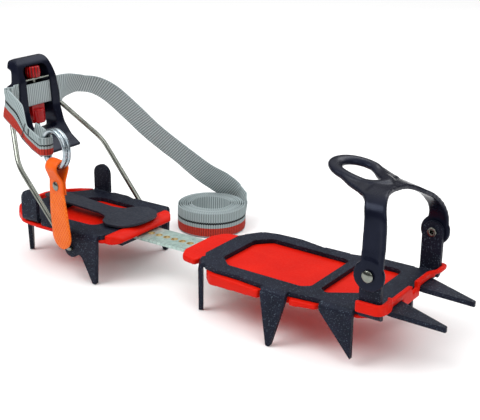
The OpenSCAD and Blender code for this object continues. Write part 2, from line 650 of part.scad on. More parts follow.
module lever_rivet() {
  head_z = root_z + spring_t + free_gap;
  color(steel) centred() translate([root_x, 0, 0]) {
    translate([0, 0, frame_h + lay_gap]) cylinder(r = 3.2, h = spacer_h - lay_gap);
    translate([0, 0, plate_low]) cylinder(r = root_rivet_r, h = head_z + 1 - plate_low);
    translate([0, 0, head_z]) cylinder(r = 4.2, h = 1.2);
    translate([0, 0, plate_low]) cylinder(r = root_rivet_r + 2.2, h = plate_t - 0.6);
  }
}
module lock_pin() {
  low = bar_top + 0.3;
  color(steel) centred() translate([pin_x, 0, low]) cylinder(r = pin_r, h = paddle_z - low);
}

// Wire of radius r along straight runs with round bends at the corners [x, y, z, bend radius].
// The bends are drawn a little thinner, as bent wire is, and the runs reach into them.
thinned = 0.03;
reach = 0.2;
module wire(pts, r) {
  xyz = [for (p = pts) [p[0], p[1], p[2]]];
  last = len(pts) - 1;
  function half_angle(i) = acos(unit(xyz[i - 1] - xyz[i]) * unit(xyz[i + 1] - xyz[i])) / 2;
  function run(i) = i == 0 || i == last ? 0 : pts[i][3] / tan(half_angle(i));
  function into(i) = i == 0 || i == last ? 0 : reach;
  for (i = [0:last - 1]) {
    d = unit(xyz[i + 1] - xyz[i]);
    side = unit(cross(d, abs(d.x) < 0.9 ? [1, 0, 0] : [0, 1, 0]));
    from = run(i) - into(i);
    axis_frame(xyz[i] + d * from, side, cross(d, side), d)
      cylinder(r = r, h = norm(xyz[i + 1] - xyz[i]) - from - run(i + 1) + into(i + 1));
  }
  for (i = [1:last - 1]) {
    u = unit(xyz[i - 1] - xyz[i]);
    v = unit(xyz[i + 1] - xyz[i]);
    centre = xyz[i] + unit(u + v) * pts[i][3] / sin(half_angle(i));
    x = unit(xyz[i] + u * run(i) - centre);
    z = unit(cross(x, xyz[i] + v * run(i) - centre));
    axis_frame(centre, x, cross(z, x), z) rotate_extrude(angle = 180 - 2 * half_angle(i))
      translate([pts[i][3], 0]) circle(r - thinned);
  }
}
leg_y = heel_half_w + bend_r + free_gap + wire_r;
shoulder = 68;
foot_bend = wire_r + 0.3;
cross_y = lever_half_w + 2.6;
module heel_bail() {
  half = [
    [0, heel_half_w - 2, 0, 0], [0, leg_y, 0, foot_bend], [0, leg_y + 0.6, shoulder, 30],
    [0, cross_y, bail_len, 3.4]];
  path = concat(half, [for (i = [3:-1:0]) [half[i][0], -half[i][1], half[i][2], half[i][3]]]);
  color(steel) centred() translate([pivot_x, 0, pivot_z]) rotate([0, -bail_lean, 0]) wire(path, wire_r);
}

// Heel lever, drawn upright round the cross wire
module lever_place() {
  centred() translate([cross_x, 0, cross_z]) rotate([0, -lever_lean, 0]) children();
}
barrel_top = strap_low - slide_down - free_gap;
barrel_low = barrel_top - 10.4;
floor_z = barrel_low - slide_up - 1;
roof_z = 27.4;
shelf_z = strap_low + strap_w + 0.6;
module heel_lever() {
  side = rounded([
    [-lever_back, lever_up - 2, 2], [-lever_back, 27, 1], [0, 25, 2], [0, 16.5, 2], [-lever_back, 14, 1],
    [-lever_back, -6, 8], [-1, -15, 10], [6, -23.5, 12], [14.5, -30, 12], [23.5, -34.6, 1], [26, -33, 1.2],
    [17.5, -26, 12], [11.5, -16.5, 16], [lever_front, -4, 12], [lever_front, 18, 14], [5, 29, 10],
    [1, lever_up, 3]]);
  front = rounded([
    [-lever_half_w, -40, 2], [lever_half_w, -40, 2], [lever_half_w - 0.5, -18, 20], [lever_half_w, 5, 20],
    [lever_half_w - 2.5, 24, 14], [lever_half_w - 5, lever_up - 1, 5], [0, lever_up + 1, 8],
    [5 - lever_half_w, lever_up - 1, 5], [2.5 - lever_half_w, 24, 14], [-lever_half_w, 5, 20],
    [0.5 - lever_half_w, -18, 20]]);
  back_wall = 2;
  color(black) lever_place() difference() {
    union() {
      intersection() {
        translate([0, 60, 0]) rotate([90, 0, 0]) linear_extrude(120) polygon(side);
        translate([-60, 0, 0]) rotate([90, 0, 90]) linear_extrude(120) polygon(front);
      }
      translate([-lever_back, -channel_half_w - 1, 13]) cube([lever_back + 1, 2 * channel_half_w + 2, 15]);
    }
    difference() {
      translate([back_wall - lever_back, 0, 0]) rotate([90, 0, 90]) linear_extrude(60) polygon(rounded([
        [-channel_half_w, floor_z, 4], [channel_half_w, floor_z, 4], [channel_half_w, roof_z, 5],
        [-channel_half_w, roof_z, 5]]));
      both_sides() translate([-lever_back, 7.5, shelf_z - 1.8]) cube([strap_x - 0.8 + lever_back, 10, 1.8]);
    }
    translate([strap_x - free_gap / 2, -50, strap_low - free_gap])
      cube([strap_t + free_gap, 100, strap_w + 2 * free_gap]);
    long_slot(wire_r + run_gap, -slide_up, slide_down);
  }
}
module long_slot(r, low, high) {
  rotate([90, 0, 0]) {
    translate([0, low, 0]) cylinder(r = r, h = 200, center = true);
    translate([0, high, 0]) cylinder(r = r, h = 200, center = true);
    translate([-r, low, -100]) cube([2 * r, high - low, 200]);
  }
}
module adjuster_nut() {
  neck = [-wire_r - 0.5, screw_x + screw_r + 0.7];
  color(red) lever_place() difference() {
    union() {
      translate([screw_x, 0, barrel_low]) rotate_extrude() polygon(rounded([
        [0, 0, 0], [barrel_r, 0, 1], [barrel_r, barrel_top - barrel_low, 1],
        [0, barrel_top - barrel_low, 0]]));
      translate([neck[0], -6, barrel_low + 3]) cube([neck[1] - neck[0], 12, 4 - barrel_low - 3]);
    }
    rotate([90, 0, 0]) cylinder(r = wire_r + run_gap, h = 60, center = true);
    translate([screw_x, 0, -40]) cylinder(r = screw_r + run_gap, h = 80);
  }
}
knob_low = shelf_z + 1.4;
module adjuster_screw() {
  low = floor_z + 2;
  color(steel) lever_place() translate([screw_x, 0, low]) cylinder(r = screw_r, h = knob_low + 6 - low);
}
module adjuster_knob() {
  knob_h = roof_z - 1 - knob_low;
  ribs = 14;
  color(red) lever_place() translate([screw_x, 0, knob_low]) difference() {
    rotate_extrude() polygon(rounded([
      [0, 0, 0], [knob_r - 0.4, 0, 0.6], [knob_r, knob_h / 2, 8], [knob_r - 0.4, knob_h, 0.8],
      [0, knob_h, 0]]));
    for (i = [0:ribs - 1]) rotate([0, 0, 360 * i / ribs]) translate([knob_r + 0.35, 0, 1])
      cylinder(r = 0.8, h = knob_h, $fn = 16);
    translate([0, 0, -1]) cylinder(r = screw_r + run_gap, h = 7);
  }
}
module thrust_plate() {
  color(steel) lever_place() difference() {
    translate([lay_gap + 2 - lever_back, -channel_half_w + lay_gap, shelf_z + lay_gap])
      cube([lever_front + lever_back - 3, 2 * (channel_half_w - lay_gap), 1]);
    translate([screw_x, 0, 0]) cylinder(r = screw_r + run_gap, h = 60);
  }
}

// Band of width w and thickness t along points, with its width along the vectors in ups
module band(path, ups, widths, t) {
  last = len(path) - 1;
  function along(i) = unit(path[min(i + 1, last)] - path[max(i - 1, 0)]);
  function across(i) = unit(ups[i] - along(i) * (ups[i] * along(i)));
  pts = [for (i = [0:last])
    let (u = across(i) * widths[i] / 2, n = cross(along(i), across(i)) * t / 2)
    each [path[i] + u + n, path[i] - u + n, path[i] - u - n, path[i] + u - n]];
  polyhedron(pts, concat(
    [[0, 1, 2], [0, 2, 3], [4 * last, 4 * last + 2, 4 * last + 1], [4 * last, 4 * last + 3, 4 * last + 2]],
    [for (i = [0:last - 1], j = [0:3])
      let (a = 4 * i + j, b = 4 * i + (j + 1) % 4) each [[a, a + 4, b + 4], [a, b + 4, b]]]));
}
module strap_thread() {
  color(webbing) lever_place() translate([strap_x, -lever_half_w, strap_low])
    cube([strap_t, 2 * lever_half_w, strap_w]);
}

// Stitched end that leaves the lever on the outer side, folds forward and holds the rings,
// as offsets from the cross wire
strap_mid = strap_x + strap_t / 2;
strap_rise = strap_low + strap_w / 2;
thread_x = strap_mid * cos(lever_lean) - strap_rise * sin(lever_lean);
thread_z = strap_mid * sin(lever_lean) + strap_rise * cos(lever_lean);
ring_turn = -12;
ring_dir = [cos(ring_turn), sin(ring_turn), 0];
ring_normal = [-sin(ring_turn), cos(ring_turn), 0];
ring_centre = [67.2, -46, -13.5];
ring_gap = 2 * ring_wire_r + free_gap;
loop_centre = ring_centre - ring_dir * ring_r;
swing_room = 1;
loop_r = ring_gap / 2 + ring_wire_r + swing_room + strap_t / 2;
lever_up_dir = [-sin(lever_lean), 0, cos(lever_lean)];
function short_path() =
  let (slope = [0, 0, 0.32], back = [for (s = [18, 10]) -ring_dir * s + slope * s])
  concat(
    [[thread_x, -lever_half_w - lay_gap, thread_z], [thread_x, -lever_half_w - 2.5, thread_z],
     [7.2, -24.6, 7.1], [7, -26.6, 6.9], [5.8, -28.2, 6.6], [5, -29.6, 6.3], [6, -31, 5.9],
     [8.8, -32.2, 5.2], [14, -34.2, 3.6], [24, -38.2, 0.6]],
    [loop_centre + back[0] - ring_normal * (loop_r - 1), loop_centre + back[1] - ring_normal * loop_r],
    [for (a = [-90:22.5:90]) loop_centre + loop_r * (ring_dir * cos(a) + ring_normal * sin(a))],
    [loop_centre + back[1] + ring_normal * loop_r, loop_centre + back[0] + ring_normal * (loop_r - 1)]);
module strap_short() {
  path = short_path();
  lead = 10;
  bight_w = 0.64 * strap_w;
  slant = [-0.16, 0.30, 1];
  ups = concat([lever_up_dir, lever_up_dir], [for (i = [2:6]) [0.1, 0.15, 1]],
    [for (i = [7:lead - 1]) slant], [for (i = [lead:len(path) - 1]) [0, 0, 1]]);
  color(webbing) centred() translate([cross_x, 0, cross_z])
    band(path, ups, [for (i = [0:len(path) - 1]) i < lead ? strap_w : bight_w], strap_t);
}
module ring_at(offset) {
  color(steel) centred() translate(ring_centre + [cross_x, 0, cross_z] + ring_normal * offset)
    rotate([90, 0, ring_turn]) rotate_extrude() translate([ring_r, 0]) circle(ring_wire_r, $fn = 24);
}
module ring_outer() { ring_at(-ring_gap / 2); }
module ring_inner() { ring_at(ring_gap / 2); }

// Pull tab folded round the lower edge of both rings
tab_loop_r = ring_gap / 2 + ring_wire_r + swing_room + tab_t / 2;
tab_rivet_down = 13;
tab_cap_r = 3.2;
tab_rivet_r = 1.5;
module tab_place() {
  centred() translate(ring_centre + [cross_x, 0, cross_z - ring_r]) rotate([0, 0, ring_turn]) children();
}
module pull_tab() {
  meet = tab_t / 2 + lay_gap / 2;
  pinch = tab_cap_r + free_gap - tab_rivet_down;
  arc = [-20:22:200];
  tip = [for (a = [0:22.5:78.75]) a];
  path = concat(
    [[0, meet, -tab_rivet_down - 5], [0, meet, pinch]],
    [for (a = arc) [0, tab_loop_r * cos(a), tab_loop_r * sin(a)]],
    [[0, -meet, pinch], [0, -meet, -tab_rivet_down - 5], [2, -meet - 0.6, -tab_len * 0.55]],
    [for (a = tip) [5 + 2.5 * sin(a), -meet - 1.2, -tab_len + 9.5 - 9.5 * sin(a)]]);
  widths = concat([16, 15.5], [for (a = arc) 12.5], [15.5, 16.5, 19.5], [for (a = tip) 21.5 * cos(a)]);
  color(orange) tab_place() difference() {
    band(path, [for (p = path) [1, 0, 0]], widths, tab_t);
    along_y(0, -tab_rivet_down) cylinder(r = tab_rivet_r + run_gap, h = 60, center = true);
  }
}
module tab_rivet() {
  reach = tab_t + lay_gap;
  color(steel) tab_place() translate([0, 0, -tab_rivet_down]) rotate([90, 0, 0]) {
    cylinder(r = tab_rivet_r, h = 2 * reach, center = true);
    both_sides_z() translate([0, 0, reach]) rotate_extrude() intersection() {
      translate([0, -4]) circle(5.4);
      square([tab_cap_r, 3]);
    }
  }
}
module both_sides_z() { children(); mirror([0, 0, 1]) children(); }

// Long webbing: its route leaves the lever on the inner side and comes down into the roll
roll_centre = [-4, 99];
roll_end = 45;
run_up = [0.75, -0.02, 0.66];
upper_route = [
  [cross_x + thread_x, lever_half_w + lay_gap, cross_z + thread_z],
  [cross_x + thread_x, lever_half_w + 3, cross_z + thread_z],
  [-88, 28, 114.6], [-89, 36, 114.8], [-87.5, 45, 114.5], [-81, 54, 111.5], [-73, 62, 107], [-62, 72, 93]];
lower_route = [
  [-62, 72, 93], [-51, 82, 79], [-41, 90, 68], [-31, 97.5, 58], [-18.5, 108, 44.5], [-10.5, 120, 33],
  [-1, 128.8, 22], [7.5, 126, 15.3], [14.4, 120.4, 11]];
upper_ups = [
  lever_up_dir, lever_up_dir, [0.2, 0, 1], [0.42, 0, 0.9], [0.58, -0.1, 0.8], [0.56, -0.1, 0.82],
  [0.69, 0, 0.72], run_up];
lower_ups = [
  run_up, run_up, run_up, run_up, [0.7, 0.1, 0.72], [0.55, 0.2, 0.8], [0.35, -0.25, 0.9], [0.1, 0.1, 1],
  [0, 0, 1]];
module strap_upper() {
  color(webbing) centred() band(upper_route, upper_ups, [for (p = upper_route) strap_w], strap_t);
}
module strap_lower() {
  color(webbing) centred() band(lower_route, lower_ups, [for (p = lower_route) strap_w], strap_t);
}

// Roll of webbing on edge: one unbroken band in a spiral
turn_steps = 24;
roll_pitch = strap_t + roll_gap;
function spiral(offset) = [for (i = [0:roll_turns * turn_steps])
  let (turn = i / turn_steps, a = roll_end - 360 * (roll_turns - turn),
    r = roll_r + offset + roll_pitch * turn)
  [r * cos(a), r * sin(a)]];
inner_line = spiral(0);
outer_line = spiral(strap_t);
least_gap = min([for (i = [turn_steps:len(inner_line) - 1])
  norm(inner_line[i] - outer_line[i - turn_steps])]);
echo(roll_least_gap_mm = least_gap);
module strap_roll() {
  color(webbing) centred() translate([roll_centre.x, roll_centre.y, 0]) linear_extrude(strap_w)
    polygon(concat(inner_line, [for (i = [len(outer_line) - 1:-1:0]) outer_line[i]]));
}

front_frame();
front_plate();
toe_basket();
basket_rivets();
link_bar();
bar_screws();
rear_frame();
rear_plate();
bar_guide();
guide_rivets();
length_lever();
lever_rivet();
lock_pin();
heel_bail();
heel_lever();
adjuster_nut();
adjuster_screw();
adjuster_knob();
thrust_plate();
strap_thread();
strap_short();
ring_outer();
ring_inner();
pull_tab();
tab_rivet();
strap_upper();
strap_lower();
strap_roll();
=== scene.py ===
"""Looks of a mountaineering crampon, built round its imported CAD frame."""
import json
import math

import bpy
from mathutils import Matrix, Vector


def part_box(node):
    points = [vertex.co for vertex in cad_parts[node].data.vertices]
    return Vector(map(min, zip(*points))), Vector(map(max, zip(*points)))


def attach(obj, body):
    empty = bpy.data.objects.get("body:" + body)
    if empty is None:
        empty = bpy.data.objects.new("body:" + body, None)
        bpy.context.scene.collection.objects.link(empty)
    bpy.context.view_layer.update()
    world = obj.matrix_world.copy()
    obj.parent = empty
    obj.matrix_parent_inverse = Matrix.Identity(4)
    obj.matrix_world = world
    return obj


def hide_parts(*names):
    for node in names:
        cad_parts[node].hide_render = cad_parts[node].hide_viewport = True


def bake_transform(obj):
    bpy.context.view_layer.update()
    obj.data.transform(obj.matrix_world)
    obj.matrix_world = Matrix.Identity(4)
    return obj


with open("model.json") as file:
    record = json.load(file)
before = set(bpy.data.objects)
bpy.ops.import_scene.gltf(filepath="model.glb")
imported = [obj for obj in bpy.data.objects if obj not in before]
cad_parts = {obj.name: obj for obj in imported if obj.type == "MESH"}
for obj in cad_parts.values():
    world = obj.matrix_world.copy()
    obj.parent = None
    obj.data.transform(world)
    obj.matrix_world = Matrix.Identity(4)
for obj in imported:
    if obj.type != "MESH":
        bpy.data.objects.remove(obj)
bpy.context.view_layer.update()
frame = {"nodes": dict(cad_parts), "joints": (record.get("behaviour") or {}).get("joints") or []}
nodes = frame["nodes"]
joints = {joint["name"]: joint for joint in frame["joints"]}

MM = 0.001
MID_X = 72.8394  # the CAD datum lies this far behind the part's middle, in mm


def point(x, y, z):
    """A point given in mm from the CAD datum, in metres of the shared frame."""
    return Vector(((x - MID_X) * MM, y * MM, z * MM))


def from_datum(place):
    """A point of the shared frame, in mm from the CAD datum."""
    return Vector((place[0] / MM + MID_X, place[1] / MM, place[2] / MM))


def joint_place(name):
    """A point on a joint's axis, in mm from the CAD datum."""
    return from_datum(joints[name]["pos_m"])


def clamp(value):
    """The value, held between 0 and 1."""
    return min(max(value, 0), 1)


CROSS = joint_place("nut_hinge")  # middle of the bail's cross wire
SCREW = joint_place("knob_spin")  # on the adjuster screw, level with the cross wire
LEVER_UP = Vector(joints["lever_slide"]["axis"])  # along the leaning screw
LEVER_OUT = Vector((LEVER_UP.z, 0, -LEVER_UP.x))  # square to it, towards the toe


# Camera, fitted to the photo
PHOTO_WIDTH_PX = 480
FOCAL_PX = 1015.73
SENSOR_MM = 36
AZIMUTH, PITCH, BANK = math.radians(34.16), math.radians(19.59), math.radians(0.59)
CAMERA_AT = (0.36602, -0.51315, 0.2824)


def make_camera():
    ahead = Vector((-math.sin(AZIMUTH), math.cos(AZIMUTH), 0))
    look = ahead * math.cos(PITCH) - Vector((0, 0, math.sin(PITCH)))
    side = Vector((math.cos(AZIMUTH), math.sin(AZIMUTH), 0))
    up = side.cross(look)
    right = side * math.cos(BANK) + up * math.sin(BANK)
    top = up * math.cos(BANK) - side * math.sin(BANK)
    data = bpy.data.cameras.new("camera")
    data.sensor_width = SENSOR_MM
    data.lens = FOCAL_PX / PHOTO_WIDTH_PX * SENSOR_MM
    camera = bpy.data.objects.new("camera", data)
    camera.matrix_world = Matrix((right, top, -look)).transposed().to_4x4()
    camera.location = CAMERA_AT
    bpy.context.scene.collection.objects.link(camera)
    bpy.context.scene.camera = camera


make_camera()


# Materials
class Shader:
    """A small helper that wires one Principled material from procedural nodes."""

    def __init__(self, name, colour, rough, metal=0.0, **sockets):
        self.mat = bpy.data.materials.new(name)
        self.mat.use_nodes = True
        self.tree = self.mat.node_tree
        self.bsdf = self.tree.nodes["Principled BSDF"]
        self.put("Base Color", (*colour, 1))
        self.put("Roughness", rough)
        self.put("Metallic", metal)
        for key, value in sockets.items():
            self.put(key.replace("_", " "), value)
        self.coords = self.add("ShaderNodeTexCoord")

    def put(self, socket, value):
        self.bsdf.inputs[socket].default_value = value

    def add(self, kind, inputs=(), **settings):
        node = self.tree.nodes.new(kind)
        for key, value in settings.items():
            setattr(node, key, value)
        for key, value in dict(inputs).items():
            if isinstance(value, bpy.types.NodeSocket):
                self.tree.links.new(value, node.inputs[key])
            else:
                node.inputs[key].default_value = value
        return node

    def math(self, operation, a, b=0.0):
        node = self.add("ShaderNodeMath", {0: a, 1: b}, operation=operation)
        return node.outputs[0]

    def noise(self, size_mm, detail=3.0, stretch=(1, 1, 1), rough=0.5):
        """Noise whose grains are about size_mm across."""
        place = self.add("ShaderNodeMapping", {0: self.coords.outputs["Object"], "Scale": stretch})
        node = self.add("ShaderNodeTexNoise", {
            "Vector": place.outputs[0], "Scale": 1000.0 / size_mm, "Detail": detail, "Roughness": rough})
        return node.outputs["Fac"]

    def ramp(self, value, low, high, a=0.0, b=1.0):
        """Runs from a, where the value is low, to b, where it is high."""
        node = self.add("ShaderNodeMapRange", {
            "Value": value, "From Min": low, "From Max": high, "To Min": a, "To Max": b})
        return node.outputs[0]

    def patches(self, size_mm, detail, a=0.0, b=1.0):
        """Noise drawn out to run from a to b."""
        return self.ramp(self.noise(size_mm, detail), 0.3, 0.7, a, b)

    def mix(self, fac, a, b):
        """Colour a at 0 and colour b at 1; either may be a socket."""
        node = self.add("ShaderNodeMix", data_type="RGBA")
        for index, value in ((0, fac), (6, a), (7, b)):
            if isinstance(value, bpy.types.NodeSocket):
                self.tree.links.new(value, node.inputs[index])
            else:
                node.inputs[index].default_value = (*value, 1) if index else value
        return node.outputs[2]

    def link(self, value, socket):
        self.tree.links.new(value, self.bsdf.inputs[socket])

    def rounded(self, edge_mm):
        """The surface's direction with its corners rounded by edge_mm."""
        return self.add("ShaderNodeBevel", {"Radius": edge_mm * MM}, samples=4).outputs[0]

    def relief(self, height, depth_mm, edge_mm=0.0):
        """Bump from a height field, over corners that are rounded by edge_mm."""
        inputs = {"Height": height, "Strength": 1.0, "Distance": depth_mm * MM}
        if edge_mm:
            inputs["Normal"] = self.rounded(edge_mm)
        self.link(self.add("ShaderNodeBump", inputs).outputs[0], "Normal")

    def edges(self, edge_mm):
        """1 near sharp corners and 0 on flat faces."""
        plain = self.add("ShaderNodeNewGeometry")
        same = self.add("ShaderNodeVectorMath", {0: self.rounded(edge_mm), 1: plain.outputs["Normal"]},
                        operation="DOT_PRODUCT")
        return self.ramp(same.outputs["Value"], 0.99, 0.80)


def powder_coat():
    """Satin black coat with pale flecks and slightly worn corners."""
    s = Shader("black_powder_coat", (0.007, 0.008, 0.016), 0.48,
               Specular_IOR_Level=0.16, Specular_Tint=(0.7, 0.8, 1, 1))
    grain = s.noise(0.9, 4, rough=0.7)
    flecks = s.ramp(s.noise(0.8, 1), 0.62, 0.70)
    worn = s.math("MULTIPLY", s.edges(0.7), s.ramp(s.noise(3, 4), 0.5, 0.75))
    base = s.mix(s.patches(14, 3), (0.005, 0.006, 0.012), (0.010, 0.011, 0.022))
    base = s.mix(flecks, base, (0.06, 0.08, 0.105))
    base = s.mix(s.math("MULTIPLY", worn, 0.30), base, (0.11, 0.12, 0.15))
    s.link(base, "Base Color")
    s.link(s.ramp(grain, 0.3, 0.7, 0.40, 0.60), "Roughness")
    s.relief(grain, 0.05, edge_mm=0.7)
    return s.mat


def moulded_black():
    s = Shader("black_moulding", (0.005, 0.006, 0.013), 0.24,
               Specular_IOR_Level=0.15, Specular_Tint=(0.62, 0.72, 1, 1))
    s.link(s.mix(s.patches(18, 3), (0.0035, 0.0042, 0.010), (0.007, 0.008, 0.017)), "Base Color")
    s.link(s.patches(6, 4, 0.18, 0.30), "Roughness")
    s.relief(s.noise(1.2, 2), 0.008, edge_mm=1.6)
    return s.mat


def moulded_red():
    """Matte red with faint scuffs along the plate."""
    s = Shader("red_moulding", (0.60, 0.008, 0.001), 0.46, Specular_IOR_Level=0.10)
    scuff = s.ramp(s.noise(5, 5, stretch=(0.3, 1, 1)), 0.60, 0.78)
    base = s.mix(s.patches(22, 4), (0.55, 0.006, 0.0008), (0.63, 0.009, 0.0012))
    s.link(s.mix(s.math("MULTIPLY", scuff, 0.12), base, (0.70, 0.05, 0.02)), "Base Color")
    s.link(s.patches(1.4, 4, 0.38, 0.54), "Roughness")
    s.relief(s.noise(0.7, 3), 0.02, edge_mm=1.0)
    return s.mat


def gloss_red():
    s = Shader("red_gloss", (0.36, 0.002, 0.003), 0.18, Specular_IOR_Level=0.30)
    s.link(s.mix(s.patches(3, 3), (0.31, 0.0015, 0.002), (0.41, 0.003, 0.004)), "Base Color")
    s.link(s.patches(0.8, 3, 0.14, 0.24), "Roughness")
    s.relief(s.noise(1.5, 2), 0.01, edge_mm=0.4)
    return s.mat


WHEEL_GROOVES = 14


def knurled_red():
    """Glossy red with painted shade in the grooves round the wheel's axis."""
    s = Shader("red_wheel", (0.40, 0.002, 0.003), 0.18, Specular_IOR_Level=0.30)
    hub = point(*SCREW)
    place = s.add("ShaderNodeVectorMath", {0: s.coords.outputs["Object"], 1: hub}, operation="SUBTRACT")
    across = s.add("ShaderNodeVectorMath", {0: place.outputs[0], 1: LEVER_OUT}, operation="DOT_PRODUCT")
    side = s.add("ShaderNodeSeparateXYZ", {0: place.outputs[0]}).outputs[1]
    angle = s.math("ARCTAN2", side, across.outputs["Value"])
    wave = s.math("COSINE", s.math("MULTIPLY", angle, WHEEL_GROOVES))
    cloud = s.mix(s.noise(3, 3), (0.36, 0.002, 0.002), (0.46, 0.003, 0.004))
    # painted shade: the colour turns near black in each groove round the axis
    s.link(s.mix(s.ramp(wave, 0.0, 0.8), cloud, (0.05, 0.001, 0.001)), "Base Color")
    s.link(s.patches(0.8, 3, 0.14, 0.24), "Roughness")
    s.relief(s.noise(1.5, 2), 0.01, edge_mm=0.3)
    return s.mat


def drawn_steel():
    s = Shader("bright_steel", (0.22, 0.235, 0.21), 0.22, 1.0)
    mottle = s.ramp(s.noise(7, 4), 0.35, 0.65)
    s.link(s.mix(mottle, (0.18, 0.19, 0.165), (0.27, 0.285, 0.255)), "Base Color")
    s.link(s.patches(5, 3, 0.12, 0.22), "Roughness")
    s.relief(s.noise(2.5, 2), 0.003, edge_mm=0.9)
    return s.mat


def zinc():
    s = Shader("zinc_plate", (0.34, 0.40, 0.44), 0.30, 1.0)
    mottle = s.ramp(s.noise(3.2, 5), 0.35, 0.65)
    s.link(s.mix(mottle, (0.26, 0.32, 0.36), (0.44, 0.49, 0.52)), "Base Color")
    s.link(s.patches(1.6, 4, 0.20, 0.38), "Roughness")
    s.relief(s.noise(2.0, 3), 0.006, edge_mm=0.7)
    return s.mat


# the link bar's row of holes, and the short marks beside it, in mm
HOLE_PITCH, FIRST_HOLE_X, HOLE_EDGE_R = 6.75, -4, 2.62
MARK_HALF_W, MARKS_FROM_Y = 0.22, -7.6


def bar_zinc():
    """Pale green zinc, brass-tinted hole edges and a row of fine length marks along the outer edge."""
    s = Shader("zinc_bar", (0.42, 0.56, 0.51), 0.40, 0.6)
    xyz = s.add("ShaderNodeSeparateXYZ", {0: s.coords.outputs["Object"]})
    x_mm, y_mm = (s.math("MULTIPLY", xyz.outputs[i], 1000.0) for i in (0, 1))
    ahead = s.math("SUBTRACT", x_mm, FIRST_HOLE_X - MID_X)
    step = s.math("PINGPONG", ahead, HOLE_PITCH / 2)
    radius = s.math("SQRT", s.math("ADD", s.math("POWER", step, 2.0), s.math("POWER", y_mm, 2.0)))
    hole = s.math("LESS_THAN", radius, HOLE_EDGE_R)
    mark = s.math("LESS_THAN", s.math("PINGPONG", ahead, HOLE_PITCH / 4), MARK_HALF_W)
    mark = s.math("MULTIPLY", mark, s.math("LESS_THAN", y_mm, MARKS_FROM_Y))
    mottle = s.noise(4, 5)
    base = s.mix(s.ramp(mottle, 0.35, 0.65), (0.33, 0.47, 0.43), (0.48, 0.61, 0.56))
    base = s.mix(s.math("MULTIPLY", hole, 0.75), base, (0.55, 0.36, 0.09))
    base = s.mix(s.math("MULTIPLY", mark, 0.55), base, (0.16, 0.21, 0.20))
    s.link(base, "Base Color")
    s.link(s.patches(1.5, 4, 0.26, 0.46), "Roughness")
    s.relief(mottle, 0.02, edge_mm=0.3)
    return s.mat


def spring_grey():
    """Dark spring steel, faintly streaked along the lever."""
    s = Shader("spring_steel", (0.018, 0.021, 0.034), 0.45, 0.1, Specular_IOR_Level=0.25)
    streak = s.ramp(s.noise(1.2, 4, stretch=(0.12, 1, 1)), 0.3, 0.7)
    s.link(s.mix(streak, (0.013, 0.016, 0.027), (0.024, 0.028, 0.042)), "Base Color")
    s.link(s.patches(2, 4, 0.36, 0.55), "Roughness")
    s.relief(s.noise(0.7, 3), 0.03, edge_mm=0.5)
    return s.mat


RIB_MM = 1.8  # length of one rib of the weave
YARNS = 17  # across the webbing
LINE_FROM, LINE_TO, RED_FROM = 0.39, 0.475, 0.62  # the outer face's stripes, as shares of the width


def webbing(name, striped):
    """Ribbed polyester webbing. UV x runs along the strap in mm, UV y from 0 at its upper edge to 1."""
    s = Shader(name, (0.36, 0.39, 0.39), 0.80, Specular_IOR_Level=0.15)
    uv = s.add("ShaderNodeSeparateXYZ", {0: s.coords.outputs["UV"]})
    along, across = uv.outputs[0], uv.outputs[1]
    rib = s.math("SINE", s.math("MULTIPLY", along, 2 * math.pi / RIB_MM))
    yarn = s.math("SINE", s.math("MULTIPLY", across, 2 * math.pi * YARNS))
    crossing = s.math("MULTIPLY", s.math("MULTIPLY", rib, yarn), 0.45)
    lift = s.ramp(s.math("ADD", s.math("MULTIPLY", rib, 0.7), crossing), -0.9, 0.9)
    fuzz = s.noise(0.6, 4)
    # painted shade: the colour darkens in the troughs between the ribs, where lift is low
    if striped:
        base = s.mix(lift, (0.13, 0.165, 0.17), (0.37, 0.435, 0.44))
        red = s.mix(lift, (0.15, 0.006, 0.003), (0.50, 0.032, 0.015))
        wave = s.math("ADD", across, s.math("MULTIPLY", rib, 0.012))
        above, below = s.math("GREATER_THAN", wave, LINE_FROM), s.math("LESS_THAN", wave, LINE_TO)
        base = s.mix(s.math("MULTIPLY", above, below), base, (0.012, 0.014, 0.016))
        base = s.mix(s.math("GREATER_THAN", across, RED_FROM), base, red)
    else:
        # painted shade in the rib troughs, as on the striped face
        base = s.mix(lift, (0.13, 0.16, 0.165), (0.55, 0.63, 0.64))
    selvage = s.math("MINIMUM", across, s.math("SUBTRACT", 1.0, across))
    base = s.mix(s.ramp(selvage, 0.05, 0.015, 0.0, 0.8), base, (0.34, 0.40, 0.41))
    base = s.mix(s.ramp(fuzz, 0.45, 0.85, 0.0, 0.12), base, (0.39, 0.45, 0.455))
    s.link(base, "Base Color")
    s.link(s.ramp(fuzz, 0.3, 0.7, 0.70, 0.90), "Roughness")
    s.relief(s.math("ADD", lift, s.math("MULTIPLY", fuzz, 0.3)), 0.10)
    return s.mat


HATCH_MM = 3.1  # between two lines of the tab's grip
GRIP_FROM, GRIP_FULL = 27.0, 31.0  # along the tab, in mm


def orange_rubber():
    """Orange tab with a diagonal cross-hatch pressed into its lower half. UV is in mm along and across it."""
    s = Shader("orange_tab", (0.72, 0.10, 0.002), 0.46, Specular_IOR_Level=0.2)
    uv = s.add("ShaderNodeSeparateXYZ", {0: s.coords.outputs["UV"]})
    along, across = uv.outputs[0], uv.outputs[1]
    lines = []
    for sign in (1, -1):
        slant = s.math("ADD", along, s.math("MULTIPLY", across, sign))
        lines.append(s.math("PINGPONG", s.math("MULTIPLY", slant, 1 / HATCH_MM), 0.5))
    hatch = s.ramp(s.math("MINIMUM", *lines), 0.17, 0.06)
    groove = s.math("MULTIPLY", hatch, s.ramp(along, GRIP_FROM, GRIP_FULL))
    base = s.mix(s.patches(6, 4), (0.68, 0.085, 0.001), (0.76, 0.11, 0.003))
    s.link(s.mix(s.math("MULTIPLY", groove, 0.5), base, (0.90, 0.26, 0.02)), "Base Color")
    s.link(s.patches(1.2, 4, 0.40, 0.58), "Roughness")
    s.relief(s.math("ADD", groove, s.math("MULTIPLY", s.noise(0.5, 3), 0.2)), 0.25)
    return s.mat


